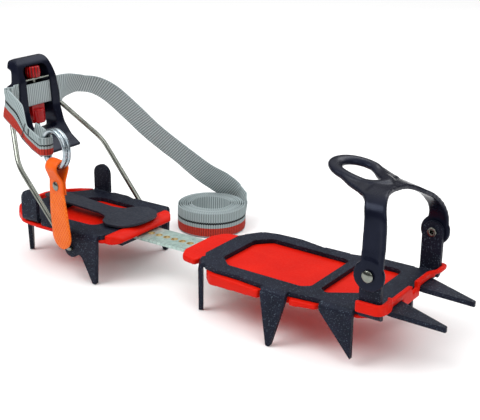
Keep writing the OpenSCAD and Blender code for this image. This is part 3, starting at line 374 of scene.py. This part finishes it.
def dark_thread():
    s = Shader("stitch_thread", (0.03, 0.034, 0.038), 0.7)
    s.link(s.mix(s.noise(0.4, 3), (0.02, 0.022, 0.026), (0.07, 0.075, 0.08)), "Base Color")
    s.relief(s.noise(0.25, 3), 0.05)
    return s.mat


plastic = moulded_black()
steel = drawn_steel()
plain_web = webbing("webbing_inner", False)
striped_web = webbing("webbing_outer", True)
orange = orange_rubber()
stitching = dark_thread()

FINISH = {
    powder_coat(): ["front_frame", "rear_frame", "bar_guide"],
    plastic: ["toe_basket", "heel_lever"],
    moulded_red(): ["front_plate", "rear_plate"],
    gloss_red(): ["adjuster_nut"],
    knurled_red(): ["adjuster_knob"],
    steel: ["basket_rivets", "bar_screws", "guide_rivets", "lever_rivet", "lock_pin", "heel_bail",
            "adjuster_screw", "thrust_plate", "tab_rivet"],
    zinc(): ["ring_outer", "ring_inner"],
    bar_zinc(): ["link_bar"],
    spring_grey(): ["length_lever"],
    plain_web: ["strap_thread", "strap_short", "strap_upper", "strap_lower", "strap_roll"],
    orange: ["pull_tab"],
}
for finish, names in FINISH.items():
    for name in names:
        nodes[name].data.materials.clear()
        nodes[name].data.materials.append(finish)


def soften(obj, voxel_mm, passes):
    """Rounded moulding edges, by modifiers alone."""
    remesh = obj.modifiers.new("moulding", "REMESH")
    remesh.mode = "VOXEL"
    remesh.voxel_size = voxel_mm * MM
    remesh.use_smooth_shade = True
    smooth = obj.modifiers.new("rounding", "SMOOTH")
    smooth.factor = 0.5
    smooth.iterations = passes


for name in ("front_plate", "rear_plate"):
    soften(nodes[name], voxel_mm=0.7, passes=6)


# Lines and meshes
def smooth_line(points, step):
    """A Catmull-Rom line through the points, sampled about every step."""
    pts = [Vector(p) for p in points]
    pts = [2 * pts[0] - pts[1], *pts, 2 * pts[-1] - pts[-2]]
    line = []
    for a, b, c, d in zip(pts, pts[1:], pts[2:], pts[3:]):
        n = max(2, round((c - b).length / step))
        for i in range(n):
            t = i / n
            line.append(0.5 * (2 * b + (c - a) * t + (2 * a - 5 * b + 4 * c - d) * t * t
                               + (3 * b - a - 3 * c + d) * t ** 3))
    return line + [pts[-2]]


def running(line):
    """Each point's distance from the line's start, along the line."""
    run = [0.0]
    for a, b in zip(line, line[1:]):
        run.append(run[-1] + (b - a).length)
    return run


def heading(line, i):
    """Direction of a line at its point i."""
    return (line[min(i + 1, len(line) - 1)] - line[max(i - 1, 0)]).normalized()


def spread(values, points, line):
    """Numbers or vectors given at the points, carried over to the finer line by distance."""
    marks = running([Vector(p) for p in points])
    run = running(line)
    out, k = [], 0
    for r in run:
        r *= marks[-1] / run[-1]
        while k < len(marks) - 2 and r > marks[k + 1]:
            k += 1
        t = clamp((r - marks[k]) / (marks[k + 1] - marks[k]))
        out.append(values[k] + (values[k + 1] - values[k]) * t)
    return out


def sweep(verts, faces, sections, caps=(True, True), closed=False):
    """Adds quads between equal sections, each a ring of points, in an open run or in a closed round."""
    start, count, n = len(verts), len(sections[0]), len(sections)
    for section in sections:
        verts += section
    for i in range(n if closed else n - 1):
        a, b = start + i * count, start + (i + 1) % n * count
        for j in range(count):
            k = (j + 1) % count
            faces.append((a + j, a + k, b + k, b + j))
    if caps[0] and not closed:
        faces.append(tuple(start + j for j in reversed(range(count))))
    if caps[1] and not closed:
        faces.append(tuple(start + (n - 1) * count + j for j in range(count)))


def mesh_object(name, verts, faces, mats, indices=None, uvs=None):
    """A smoothly shaded mesh in the scene."""
    mesh = bpy.data.meshes.new(name)
    mesh.from_pydata(verts, [], faces)
    for mat in mats:
        mesh.materials.append(mat)
    if indices:
        mesh.polygons.foreach_set("material_index", indices)
    if uvs:
        layer = mesh.uv_layers.new(name="UVMap")
        for loop in mesh.loops:
            layer.data[loop.index].uv = uvs[loop.vertex_index]
    mesh.polygons.foreach_set("use_smooth", [True] * len(mesh.polygons))
    mesh.update()
    obj = bpy.data.objects.new(name, mesh)
    bpy.context.scene.collection.objects.link(obj)
    return obj


ASIDE = Vector((0.31, 0.52, 0.79))  # a direction that no thread follows


def tube(name, line, radius, mat, sides):
    """A round thread along a line."""
    sections = []
    for i, p in enumerate(line):
        along = heading(line, i)
        side = along.cross(ASIDE).normalized()
        other = along.cross(side)
        angles = [2 * math.pi * j / sides for j in range(sides)]
        sections.append([p + radius * (side * math.cos(a) + other * math.sin(a)) for a in angles])
    verts, faces = [], []
    sweep(verts, faces, sections)
    return mesh_object(name, verts, faces, [mat])


# Webbing
STRAP_W, STRAP_T = 19.5 * MM, 1.2 * MM
ACROSS = [0.0, 0.03, 0.12, 0.3, 0.5, 0.7, 0.88, 0.97, 1.0]  # points across one face, as shares of the width
SELVAGE = 0.1  # share of the width, on each side, that thins out
EDGE_T = 0.45  # share of the thickness that is left at the edge


def strap(name, line, ups, outward, widths=None, span=None):
    """A flat woven band along a line, or along a span of it. Its width lies along ups, and its striped face
    looks to outward times (direction x width)."""
    widths = widths or [STRAP_W] * len(line)
    first, last = span or (0, len(line) - 1)
    run = running(line)
    sections, uvs = [], []
    for i in range(first, last + 1):
        along = heading(line, i)
        up = (ups[i] - along * ups[i].dot(along)).normalized()
        out = along.cross(up) * outward
        section = []
        for face in (1, -1):
            for v in ACROSS[::face]:
                edge = min(v, 1 - v)
                half = STRAP_T / 2 * (EDGE_T + (1 - EDGE_T) * clamp(edge / SELVAGE))
                section.append(line[i] + up * widths[i] * (0.5 - v) + out * half * face)
                uvs.append((run[i] / MM, v))
        sections.append(section)
    caps = (first == 0, last == len(line) - 1)
    verts, faces = [], []
    sweep(verts, faces, sections, caps)
    if outward > 0:
        faces = [(face[0], *reversed(face[1:])) for face in faces]
    striped = len(ACROSS) - 1
    round_once = [0] * striped + [1] * (2 * len(ACROSS) - striped)
    indices = round_once * (last - first) + [1] * sum(caps)
    return mesh_object(name, verts, faces, [striped_web, plain_web], indices, uvs)


UP = Vector((0, 0, 1))
INSIDE_LOW, INSIDE_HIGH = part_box("strap_thread")
INSIDE_AT = from_datum((INSIDE_LOW + INSIDE_HIGH) / 2)  # middle of the webbing inside the lever
LEVER_SIDE = 19.7  # from the middle, in mm, where the webbing leaves the lever on both sides
RUN_TURNS_AT, SHORT_TURNS_AT = 22.5, 22  # and where it may turn aside
# the free run from the lever to the roll: place in mm from the CAD datum, and direction of its width
RUN = [
    ((-88, 28, 114.4), (0.2, 0, 1)),
    ((-88.6, 36, 114), (0.45, -0.05, 0.88)),
    ((-86.8, 45, 113.5), (0.66, -0.14, 0.73)),
    ((-80.5, 54, 111.4), (0.72, -0.1, 0.69)),
    ((-72.5, 62.5, 104.5), (0.75, -0.05, 0.67)),
    ((-62, 72, 91), (0.75, -0.02, 0.66)),
    ((-51, 82, 75.6), (0.75, -0.02, 0.66)),
    ((-41, 90, 64.3), (0.75, -0.02, 0.66)),
    ((-31, 97.5, 54.2), (0.75, -0.02, 0.66)),
    ((-18.5, 108, 40.3), (0.7, 0.1, 0.72)),
    ((-10.5, 120, 30), (0.55, 0.2, 0.8)),
    ((-1, 128.8, 20.4), (0.35, -0.25, 0.9)),
    ((7.5, 126, 15.3), (0.1, 0.1, 1)),
    ((14.4, 120.4, 11), (0, 0, 1)),
]
LEAD_END_Y = 35 * MM  # where the lead on the lever passes into the run
RUN_STEP, FOLD_STEP = 1.5 * MM, 0.8 * MM


def free_run():
    """The long webbing from the lever down to its roll, in a short lead on the lever and one free run."""
    pts = [point(INSIDE_AT.x, y, INSIDE_AT.z) for y in (LEVER_SIDE, RUN_TURNS_AT)]
    pts += [point(*place) for place, _ in RUN]
    ups = [LEVER_UP, LEVER_UP] + [Vector(up) for _, up in RUN]
    line = smooth_line(pts, RUN_STEP)
    dirs = spread(ups, pts, line)
    cut = next(i for i, p in enumerate(line) if p.y > LEAD_END_Y)
    lead = strap("strap_lead", line, dirs, -1, span=(0, cut))
    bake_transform(lead)
    run = strap("strap_run", line, dirs, -1, span=(cut, len(line) - 1))
    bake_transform(run)
    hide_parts("strap_upper")
    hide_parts("strap_lower")
    return run, line[cut:]


# the roll's spiral, in mm
ROLL_X, ROLL_Y, ROLL_Z = -4, 99, 10.12
ROLL_TURNS, ROLL_INNER_R, ROLL_PITCH = 7, 14.2, 1.68
ROLL_END_DEG = 45  # direction from the middle to its outer end
ROLL_BULGE, ROLL_SWAY, ROLL_RIPPLE = 0.08, 0.2, 0.12  # how far it strays outwards, and up and down
STEPS_PER_TURN = 60


def roll():
    """The rest of the webbing, rolled up on edge in one unbroken and slightly uneven spiral."""
    line = []
    for i in range(ROLL_TURNS * STEPS_PER_TURN + 1):
        turn = i / STEPS_PER_TURN
        angle = math.radians(ROLL_END_DEG - 360 * (ROLL_TURNS - turn))
        radius = ROLL_INNER_R + STRAP_T / MM / 2 + ROLL_PITCH * turn + ROLL_BULGE * math.sin(2 * angle + turn)
        height = ROLL_Z + ROLL_SWAY * math.sin(1.7 * turn) + ROLL_RIPPLE * math.sin(3 * angle)
        line.append(point(ROLL_X + radius * math.cos(angle), ROLL_Y + radius * math.sin(angle), height))
    obj = strap("strap_roll_web", line, [UP] * len(line), 1)
    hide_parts("strap_roll")
    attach(obj, "rear")
    return obj


FOLD_AT = joint_place("ring_swing")  # middle of the fold that holds the rings
RING_DIR = -Vector(joints["tab_swing"]["axis"])  # from the fold towards the rings' middle
RING_SIDE = Vector((-RING_DIR.y, RING_DIR.x, 0))
FOLD_R, FOLD_W = 4.6, 12.5
FOLD_RISE = 0.32  # of the strap, per mm back from the fold
FOLD_FAR, FOLD_NEAR = 18, 10  # two places back from the fold, in mm
OUT_OF_LEVER = Vector((0.1, 0.15, 1))
SLANT = Vector((-0.16, 0.30, 1)).normalized()
# the stitched end from the lever to the fold: place in mm from the cross wire, and direction of its width
SHORT = [
    ((7.2, -24.6, 7.1), OUT_OF_LEVER),
    ((7, -26.6, 6.9), OUT_OF_LEVER),
    ((5.8, -28.2, 6.6), OUT_OF_LEVER),
    ((5, -29.6, 6.3), OUT_OF_LEVER),
    ((6, -31, 5.9), OUT_OF_LEVER),
    ((8.8, -32.2, 5.2), SLANT),
    ((14, -34.2, 3.6), SLANT),
    ((24, -38.2, 0.6), SLANT),
]


def behind_fold(distance, side):
    """A point that lies distance back from the fold and side across the rings' direction."""
    return FOLD_AT + distance * (FOLD_RISE * UP - RING_DIR) + side * RING_SIDE


def short_strap():
    """The stitched end: out of the lever on the outer side, round the rings and back behind itself."""
    pts = [Vector((INSIDE_AT.x, -y, INSIDE_AT.z)) for y in (LEVER_SIDE, SHORT_TURNS_AT)]
    pts += [CROSS + Vector(place) for place, _ in SHORT]
    ups = [LEVER_UP, LEVER_UP] + [up for _, up in SHORT]
    wide = [STRAP_W] * len(pts)
    pts += [behind_fold(FOLD_FAR, 1 - FOLD_R), behind_fold(FOLD_NEAR, -FOLD_R)]
    for degrees in range(-180, 181, 45):
        a = math.radians(degrees / 2)
        pts.append(FOLD_AT + FOLD_R * (RING_DIR * math.cos(a) + RING_SIDE * math.sin(a)))
    pts += [behind_fold(FOLD_NEAR, FOLD_R), behind_fold(FOLD_FAR, FOLD_R - 1)]
    ups += [UP] * (len(pts) - len(ups))
    wide += [FOLD_W * MM] * (len(pts) - len(wide))
    world = [point(*p) for p in pts]
    line = smooth_line(world, FOLD_STEP)
    widths = spread(wide, world, line)
    dirs = spread(ups, world, line)
    obj = strap("strap_end", line, dirs, 1, widths)
    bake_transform(obj)
    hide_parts("strap_short")
    return line, dirs, widths


RAILS_FROM, RAILS_TO = 17 * MM, 12 * MM  # from the middle, where the webbing narrows behind the rails
NARROWING = 4 * MM
INSIDE_STEPS = 30


def thread_through():
    """Webbing inside the lever, drawn together a little between the lever's two rails."""
    ends = [point(INSIDE_AT.x, y / MM, INSIDE_AT.z) for y in (INSIDE_LOW.y, INSIDE_HIGH.y)]
    line = [ends[0].lerp(ends[1], i / INSIDE_STEPS) for i in range(INSIDE_STEPS + 1)]
    shares = [clamp((RAILS_FROM - abs(p.y)) / (RAILS_FROM - RAILS_TO)) for p in line]
    widths = [STRAP_W - NARROWING * t * t * (3 - 2 * t) for t in shares]
    obj = strap("strap_inside", line, [LEVER_UP] * len(line), -1, widths)
    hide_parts("strap_thread")
    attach(obj, "binding_lever")


TACKS = ((46.0, -0.5, 0.5), (54.0, 0.1, 0.5))  # place along the band in mm, and ends as shares of its width
TACK_STITCHES, TACK_SHARE = 24, 0.94  # stitches in a seam, and its share of the band's width
TACK_R, TACK_LIFT, TACK_HALF = 0.28 * MM, 0.1 * MM, 0.5 * MM


def bar_tacks(line, dirs, widths):
    """Two dark zigzag seams that sew the strap's end to itself."""
    run = running(line)
    for n, (place, low, high) in enumerate(TACKS, 1):
        k = next(i for i, r in enumerate(run) if r > place * MM)
        along = heading(line, k)
        up = (dirs[k] - along * dirs[k].dot(along)).normalized()
        base = line[k] + along.cross(up) * (STRAP_T / 2 + TACK_LIFT)
        seam = []
        for i in range(TACK_STITCHES + 1):
            v = low + (high - low) * i / TACK_STITCHES
            seam.append(base + up * v * widths[k] * TACK_SHARE + along * (TACK_HALF if i % 2 else -TACK_HALF))
        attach(tube(f"bar_tack_{n}", seam, TACK_R, stitching, 6), "bail")


# the pull tab, in mm from its joint at the bottom of the rings
TAB_AT = joint_place("tab_swing")
TAB_LOOP_R, TAB_HALF_T = 4.8, 0.8
TAB_LOOP_W, TAB_LAP_W, TAB_W = 12.5, 16, 21.5
TAB_LAP = 0.9  # from the lap's middle to the middle of each layer
TAB_PINCH_Z, TAB_RIVET_Z, TAB_LAP_END_Z, TAB_ROUND_Z = -9.4, -13, -18, -46.5
TAB_TIP = Vector((2.5, 0, -9.5))  # from the start of the rounded end to its tip
# points across a face: place, and share of the thickness
TAB_COLUMNS = [(-1, 0.25), (-0.98, 0.55), (-0.9, 1), (-0.6, 1), (-0.3, 1), (0, 1),
               (0.3, 1), (0.6, 1), (0.9, 1), (0.98, 0.55), (1, 0.25)]
TAB_GRIP_ZERO = 24  # along the folded tab, where the hatch is measured from
TAB_STEP, TIP_STEPS, TIP_W = 0.9, 12, 0.4


def tab_line():
    """Middle line of the folded tab, from its short end round the rings to its tip, and its widths."""
    lap_z = (TAB_LAP_END_Z, TAB_RIVET_Z, TAB_PINCH_Z)
    loop = []
    for degrees in range(-20, 201, 22):
        a = math.radians(degrees)
        loop.append((0, TAB_LOOP_R * math.cos(a), TAB_LOOP_R * math.sin(a)))
    pts = [(0, TAB_LAP, z) for z in lap_z] + loop + [(0, -TAB_LAP, z) for z in reversed(lap_z)]
    pts += [(2, -TAB_LAP - 0.6, -30.8), (5, -TAB_LAP - 1.2, TAB_ROUND_Z)]
    wide = [TAB_LAP_W, TAB_LAP_W, TAB_LAP_W - 0.5] + [TAB_LOOP_W] * len(loop)
    wide += [TAB_LAP_W - 0.5, TAB_LAP_W, TAB_LAP_W + 0.5, TAB_W - 2, TAB_W]
    line = smooth_line(pts, TAB_STEP)
    widths = spread(wide, pts, line)
    end = line[-1]
    for i in range(1, TIP_STEPS + 1):
        a = math.radians(90 * i / TIP_STEPS)
        line.append(end + math.sin(a) * TAB_TIP)
        widths.append(max(TAB_W * math.cos(a), TIP_W))
    for p in line:
        if p.z <= TAB_PINCH_Z:
            p.y = math.copysign(max(abs(p.y), TAB_LAP), p.y)
    world = [point(*TAB_AT) + (RING_DIR * p.x + RING_SIDE * p.y + UP * p.z) * MM for p in line]
    return world, [w * MM for w in widths]


def pull_tab():
    """Rubber tab folded through both rings, closed by its rivet, with a hatched grip."""
    line, widths = tab_line()
    run = running(line)
    sections, uvs = [], []
    for i, p in enumerate(line):
        along = heading(line, i)
        side = (RING_DIR - along * RING_DIR.dot(along)).normalized()
        out = along.cross(side)
        section = []
        for face in (1, -1):
            for v, share in TAB_COLUMNS[::face]:
                half = TAB_HALF_T * MM * share
                section.append(p + side * v * widths[i] / 2 + out * half * face)
                uvs.append((run[i] / MM - TAB_GRIP_ZERO, v * widths[i] / MM / 2))
        sections.append(section)
    verts, faces = [], []
    sweep(verts, faces, sections)
    obj = mesh_object("tab_rubber", verts, faces, [orange], None, uvs)
    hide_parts("pull_tab")
    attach(obj, "tab")


run, run_line = free_run()
rolled = roll()
end_line, end_dirs, end_widths = short_strap()
thread_through()
bar_tacks(end_line, end_dirs, end_widths)
pull_tab()


# Toe basket, in mm from the CAD datum
BASKET_RIVET = joint_place("basket_hinge")
BASKET_STEP = 1.5
ARM_Y, ARM_T = 44.15, 3
EYE_R, EYE_BORE_R, EYE_STEPS = 9.7, 2.4, 64
BEAD_W, BEAD_FOOT_W = 2, 2.8  # of the raised edges along the arms, at their top and foot
GROOVE, GROOVE_TOP_Z, GROOVE_FADE = 0.7, 97, 6  # depth between the beads, and where it runs out upwards
# along the arch from the outer to the inner arm: y, z, back edge, front edge, dip of the front edge
ARCH = [
    (-44.15, 66, 202, 216.2, 0),
    (-44.1, 70.5, 202, 216.2, 0),
    (-43.2, 77, 202, 216.2, 0),
    (-42.9, 85, 202, 216, 0),
    (-42.5, 93, 202, 215.5, 0),
    (-39.4, 99.2, 200, 213.4, 0),
    (-33.5, 102.4, 197.5, 211, 0),
    (-27, 103.6, 196.5, 208.8, 0.4),
    (-19, 104, 196, 207.2, 1.2),
    (-9, 103.8, 195.5, 207, 2.2),
    (0, 102.9, 194.5, 207.5, 2.8),
    (10, 99.6, 195, 209, 2.8),
    (19, 95, 198, 211, 2.4),
    (30, 88.2, 202, 212.5, 1.2),
    (39, 79.6, 203.5, 214, 0),
    (43.3, 72.2, 203, 215.5, 0),
    (44.15, 66, 202, 216.2, 0),
]
# the middle of the strap loop's rim, round from the inner side of the neck
RIM = [(186.5, 5.6), (180, 9.8), (172, 9.4), (165.6, 4.6), (163, -3), (164.8, -10.4), (170, -15.8),
       (177.5, -18.2), (186, -18.8), (193.5, -17.4), (198.2, -12.4), (197, -6.4), (192, -0.4)]
RIM_HALF_W, RIM_HALF_T, RIM_SIDES = 4.5, 2.6, 16
# the two webs that fill the corners between loop and arch
WEB_T = 3.2
OUTER_WEB = [(174, -21.5), (183, -27.5), (190, -30.6), (196, -34.4), (200, -38.8), (201.5, -34),
             (199.5, -27), (198.5, -13), (193, -17), (185, -19)]
INNER_WEB = [(198, -9), (191, -1), (185, 6), (180, 13.2), (188, 11.2), (193.5, 9.8),
             (197.5, 8.6), (197.5, -2)]
NECK_Z, NECK_X, LOOP_RISE = 103.5, 188, 0.2  # the loop rises from the neck backwards
OUTER_FALL_Y, INNER_FALL_Y = -28, -6  # outside these the neck falls off towards the arms,
OUTER_FALL, INNER_FALL = 0.03, 0.015  # by so much times the distance squared,
INNER_FALL_X, INNER_FALL_RUN = 183, 17  # and on the inner side more and more towards the arch


def neck_height(x, y):
    """Height of the moulding's middle between loop and arch."""
    height = NECK_Z + LOOP_RISE * max(NECK_X - x, 0)
    if y < OUTER_FALL_Y:
        height -= OUTER_FALL * (y - OUTER_FALL_Y) ** 2
    if y > INNER_FALL_Y:
        height -= INNER_FALL * (y - INNER_FALL_Y) ** 2 * clamp((x - INNER_FALL_X) / INNER_FALL_RUN)
    return height


def arch_sections():
    """Slices along both arms and the arch; a shallow groove runs up the outside of each arm."""
    plan = [(0, y, z) for y, z, *_ in ARCH]
    line = smooth_line(plan, BASKET_STEP)
    edges = spread([Vector(row[2:]) for row in ARCH], plan, line)
    half = ARM_T / 2
    sections = []
    for i, p in enumerate(line):
        along = heading(line, i)
        out = Vector((0, -along.z, along.y))
        back, front, dip = edges[i]
        floor = half - GROOVE * clamp((GROOVE_TOP_Z - p.z) / GROOVE_FADE)
        profile = [(back, -half), (front, -half), (front, half), (front - BEAD_W, half),
                   (front - BEAD_FOOT_W, floor), (back + BEAD_FOOT_W, floor),
                   (back + BEAD_W, half), (back, half)]
        section = []
        for x, lift in profile:
            q = p + out * (lift - dip * (x - back) / (front - back))
            section.append(point(x, q.y, q.z))
        sections.append(section)
    return sections


def rim_sections():
    """Slices round the strap loop's rim."""
    line = smooth_line([(x, y, 0) for x, y in RIM + RIM[:1]], BASKET_STEP)[:-1]
    sections = []
    for i, p in enumerate(line):
        along = (line[(i + 1) % len(line)] - line[i - 1]).normalized()
        side = Vector((along.y, -along.x, 0))
        section = []
        for j in range(RIM_SIDES):
            a = 2 * math.pi * j / RIM_SIDES
            q = p + side * RIM_HALF_W * math.cos(a)
            middle = neck_height(q.x, max(q.y, OUTER_FALL_Y))
            section.append(point(q.x, q.y, middle + RIM_HALF_T * math.sin(a)))
        sections.append(section)
    return sections


def eye_sections(side):
    """Slices round the rivet eye at the foot of one arm."""
    half = ARM_T / 2
    ring = ((EYE_BORE_R, -half), (EYE_R, -half), (EYE_R, half), (EYE_BORE_R, half))
    sections = []
    for i in range(EYE_STEPS):
        a = 2 * math.pi * i / EYE_STEPS * side
        section = []
        for r, lift in ring:
            x, z = BASKET_RIVET.x + r * math.cos(a), BASKET_RIVET.z + r * math.sin(a)
            section.append(point(x, side * (ARM_Y + lift), z))
        sections.append(section)
    return sections


def web_sections(plan):
    """The underside and top of a web, both in the order that turns its faces outwards."""
    area = sum(a[0] * b[1] - b[0] * a[1] for a, b in zip(plan, plan[1:] + plan[:1]))
    plan = plan if area > 0 else plan[::-1]
    return [[point(x, y, neck_height(x, y) + lift) for x, y in plan] for lift in (-WEB_T / 2, WEB_T / 2)]


def basket():
    """The moulded toe basket: two arms, one arch and the strap loop in a single smooth form."""
    verts, faces = [], []
    sweep(verts, faces, arch_sections())
    sweep(verts, faces, rim_sections(), closed=True)
    for plan in (OUTER_WEB, INNER_WEB):
        sweep(verts, faces, web_sections(plan))
    for side in (-1, 1):
        sweep(verts, faces, eye_sections(side), closed=True)
    obj = mesh_object("basket_moulding", verts, faces, [plastic])
    soften(obj, voxel_mm=0.6, passes=12)
    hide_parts("toe_basket")
    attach(obj, "basket")


basket()


# Adjuster screw, in mm
THREAD_PITCH, THREAD_TURNS, THREAD_FROM = 1, 36, -17.3
THREAD_R, RIDGE_R = 1.38, 0.16
STEPS_PER_RIDGE = 12


def screw_thread():
    """The rolled thread on the adjuster screw."""
    line = []
    for i in range(THREAD_TURNS * STEPS_PER_RIDGE + 1):
        turn = i / STEPS_PER_RIDGE
        a = 2 * math.pi * turn
        spoke = LEVER_OUT * math.cos(a) + Vector((0, 1, 0)) * math.sin(a)
        line.append(point(*(SCREW + LEVER_UP * (THREAD_FROM + THREAD_PITCH * turn) + spoke * THREAD_R)))
    obj = tube("screw_thread", line, RIDGE_R * MM, steel, 5)
    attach(obj, "knob")


screw_thread()


# Stage
FLOOR_HALF, FLOOR_Z = 20, -0.0004
TARGET = Vector((0, 0, 0.03))
LIGHTS = (  # name, place, size and power
    ("key", (-0.5, -0.6, 1.0), 0.7, 8),
    ("fill", (0.9, -0.5, 0.8), 0.6, 3),
    ("rim", (0.1, 0.9, 0.9), 0.6, 3),
)


def area_light(name, place, size, power):
    data = bpy.data.lights.new(name, "AREA")
    data.energy = power
    data.size = size
    light = bpy.data.objects.new(name, data)
    light.location = place
    light.rotation_euler = (TARGET - Vector(place)).to_track_quat("-Z", "Y").to_euler()
    bpy.context.scene.collection.objects.link(light)


def pale_floor():
    s = Shader("pale_floor", (0.92, 0.92, 0.92), 0.85, Specular_IOR_Level=0.05)
    s.link(s.mix(s.noise(90, 3), (0.91, 0.91, 0.91), (0.93, 0.93, 0.93)), "Base Color")
    corners = [(x * FLOOR_HALF, y * FLOOR_HALF, FLOOR_Z) for x, y in ((-1, -1), (1, -1), (1, 1), (-1, 1))]
    floor = mesh_object("floor", corners, [(0, 1, 2, 3)], [s.mat])


def studio_world():
    """White surroundings that grow brighter from low down to overhead."""
    world = bpy.data.worlds.new("studio")
    world.use_nodes = True
    tree = world.node_tree
    background = tree.nodes["Background"]
    background.inputs["Color"].default_value = (1, 1, 1, 1)
    where = tree.nodes.new("ShaderNodeTexCoord")
    split = tree.nodes.new("ShaderNodeSeparateXYZ")
    height = tree.nodes.new("ShaderNodeMapRange")
    for key, value in (("From Min", 0.30), ("From Max", 0.85), ("To Min", 0.12), ("To Max", 1.40)):
        height.inputs[key].default_value = value
    tree.links.new(where.outputs["Generated"], split.inputs[0])
    tree.links.new(split.outputs[2], height.inputs["Value"])
    tree.links.new(height.outputs[0], background.inputs["Strength"])
    bpy.context.scene.world = world
    bpy.context.scene.view_settings.view_transform = "Standard"


pale_floor()
studio_world()
for light in LIGHTS:
    area_light(*light)
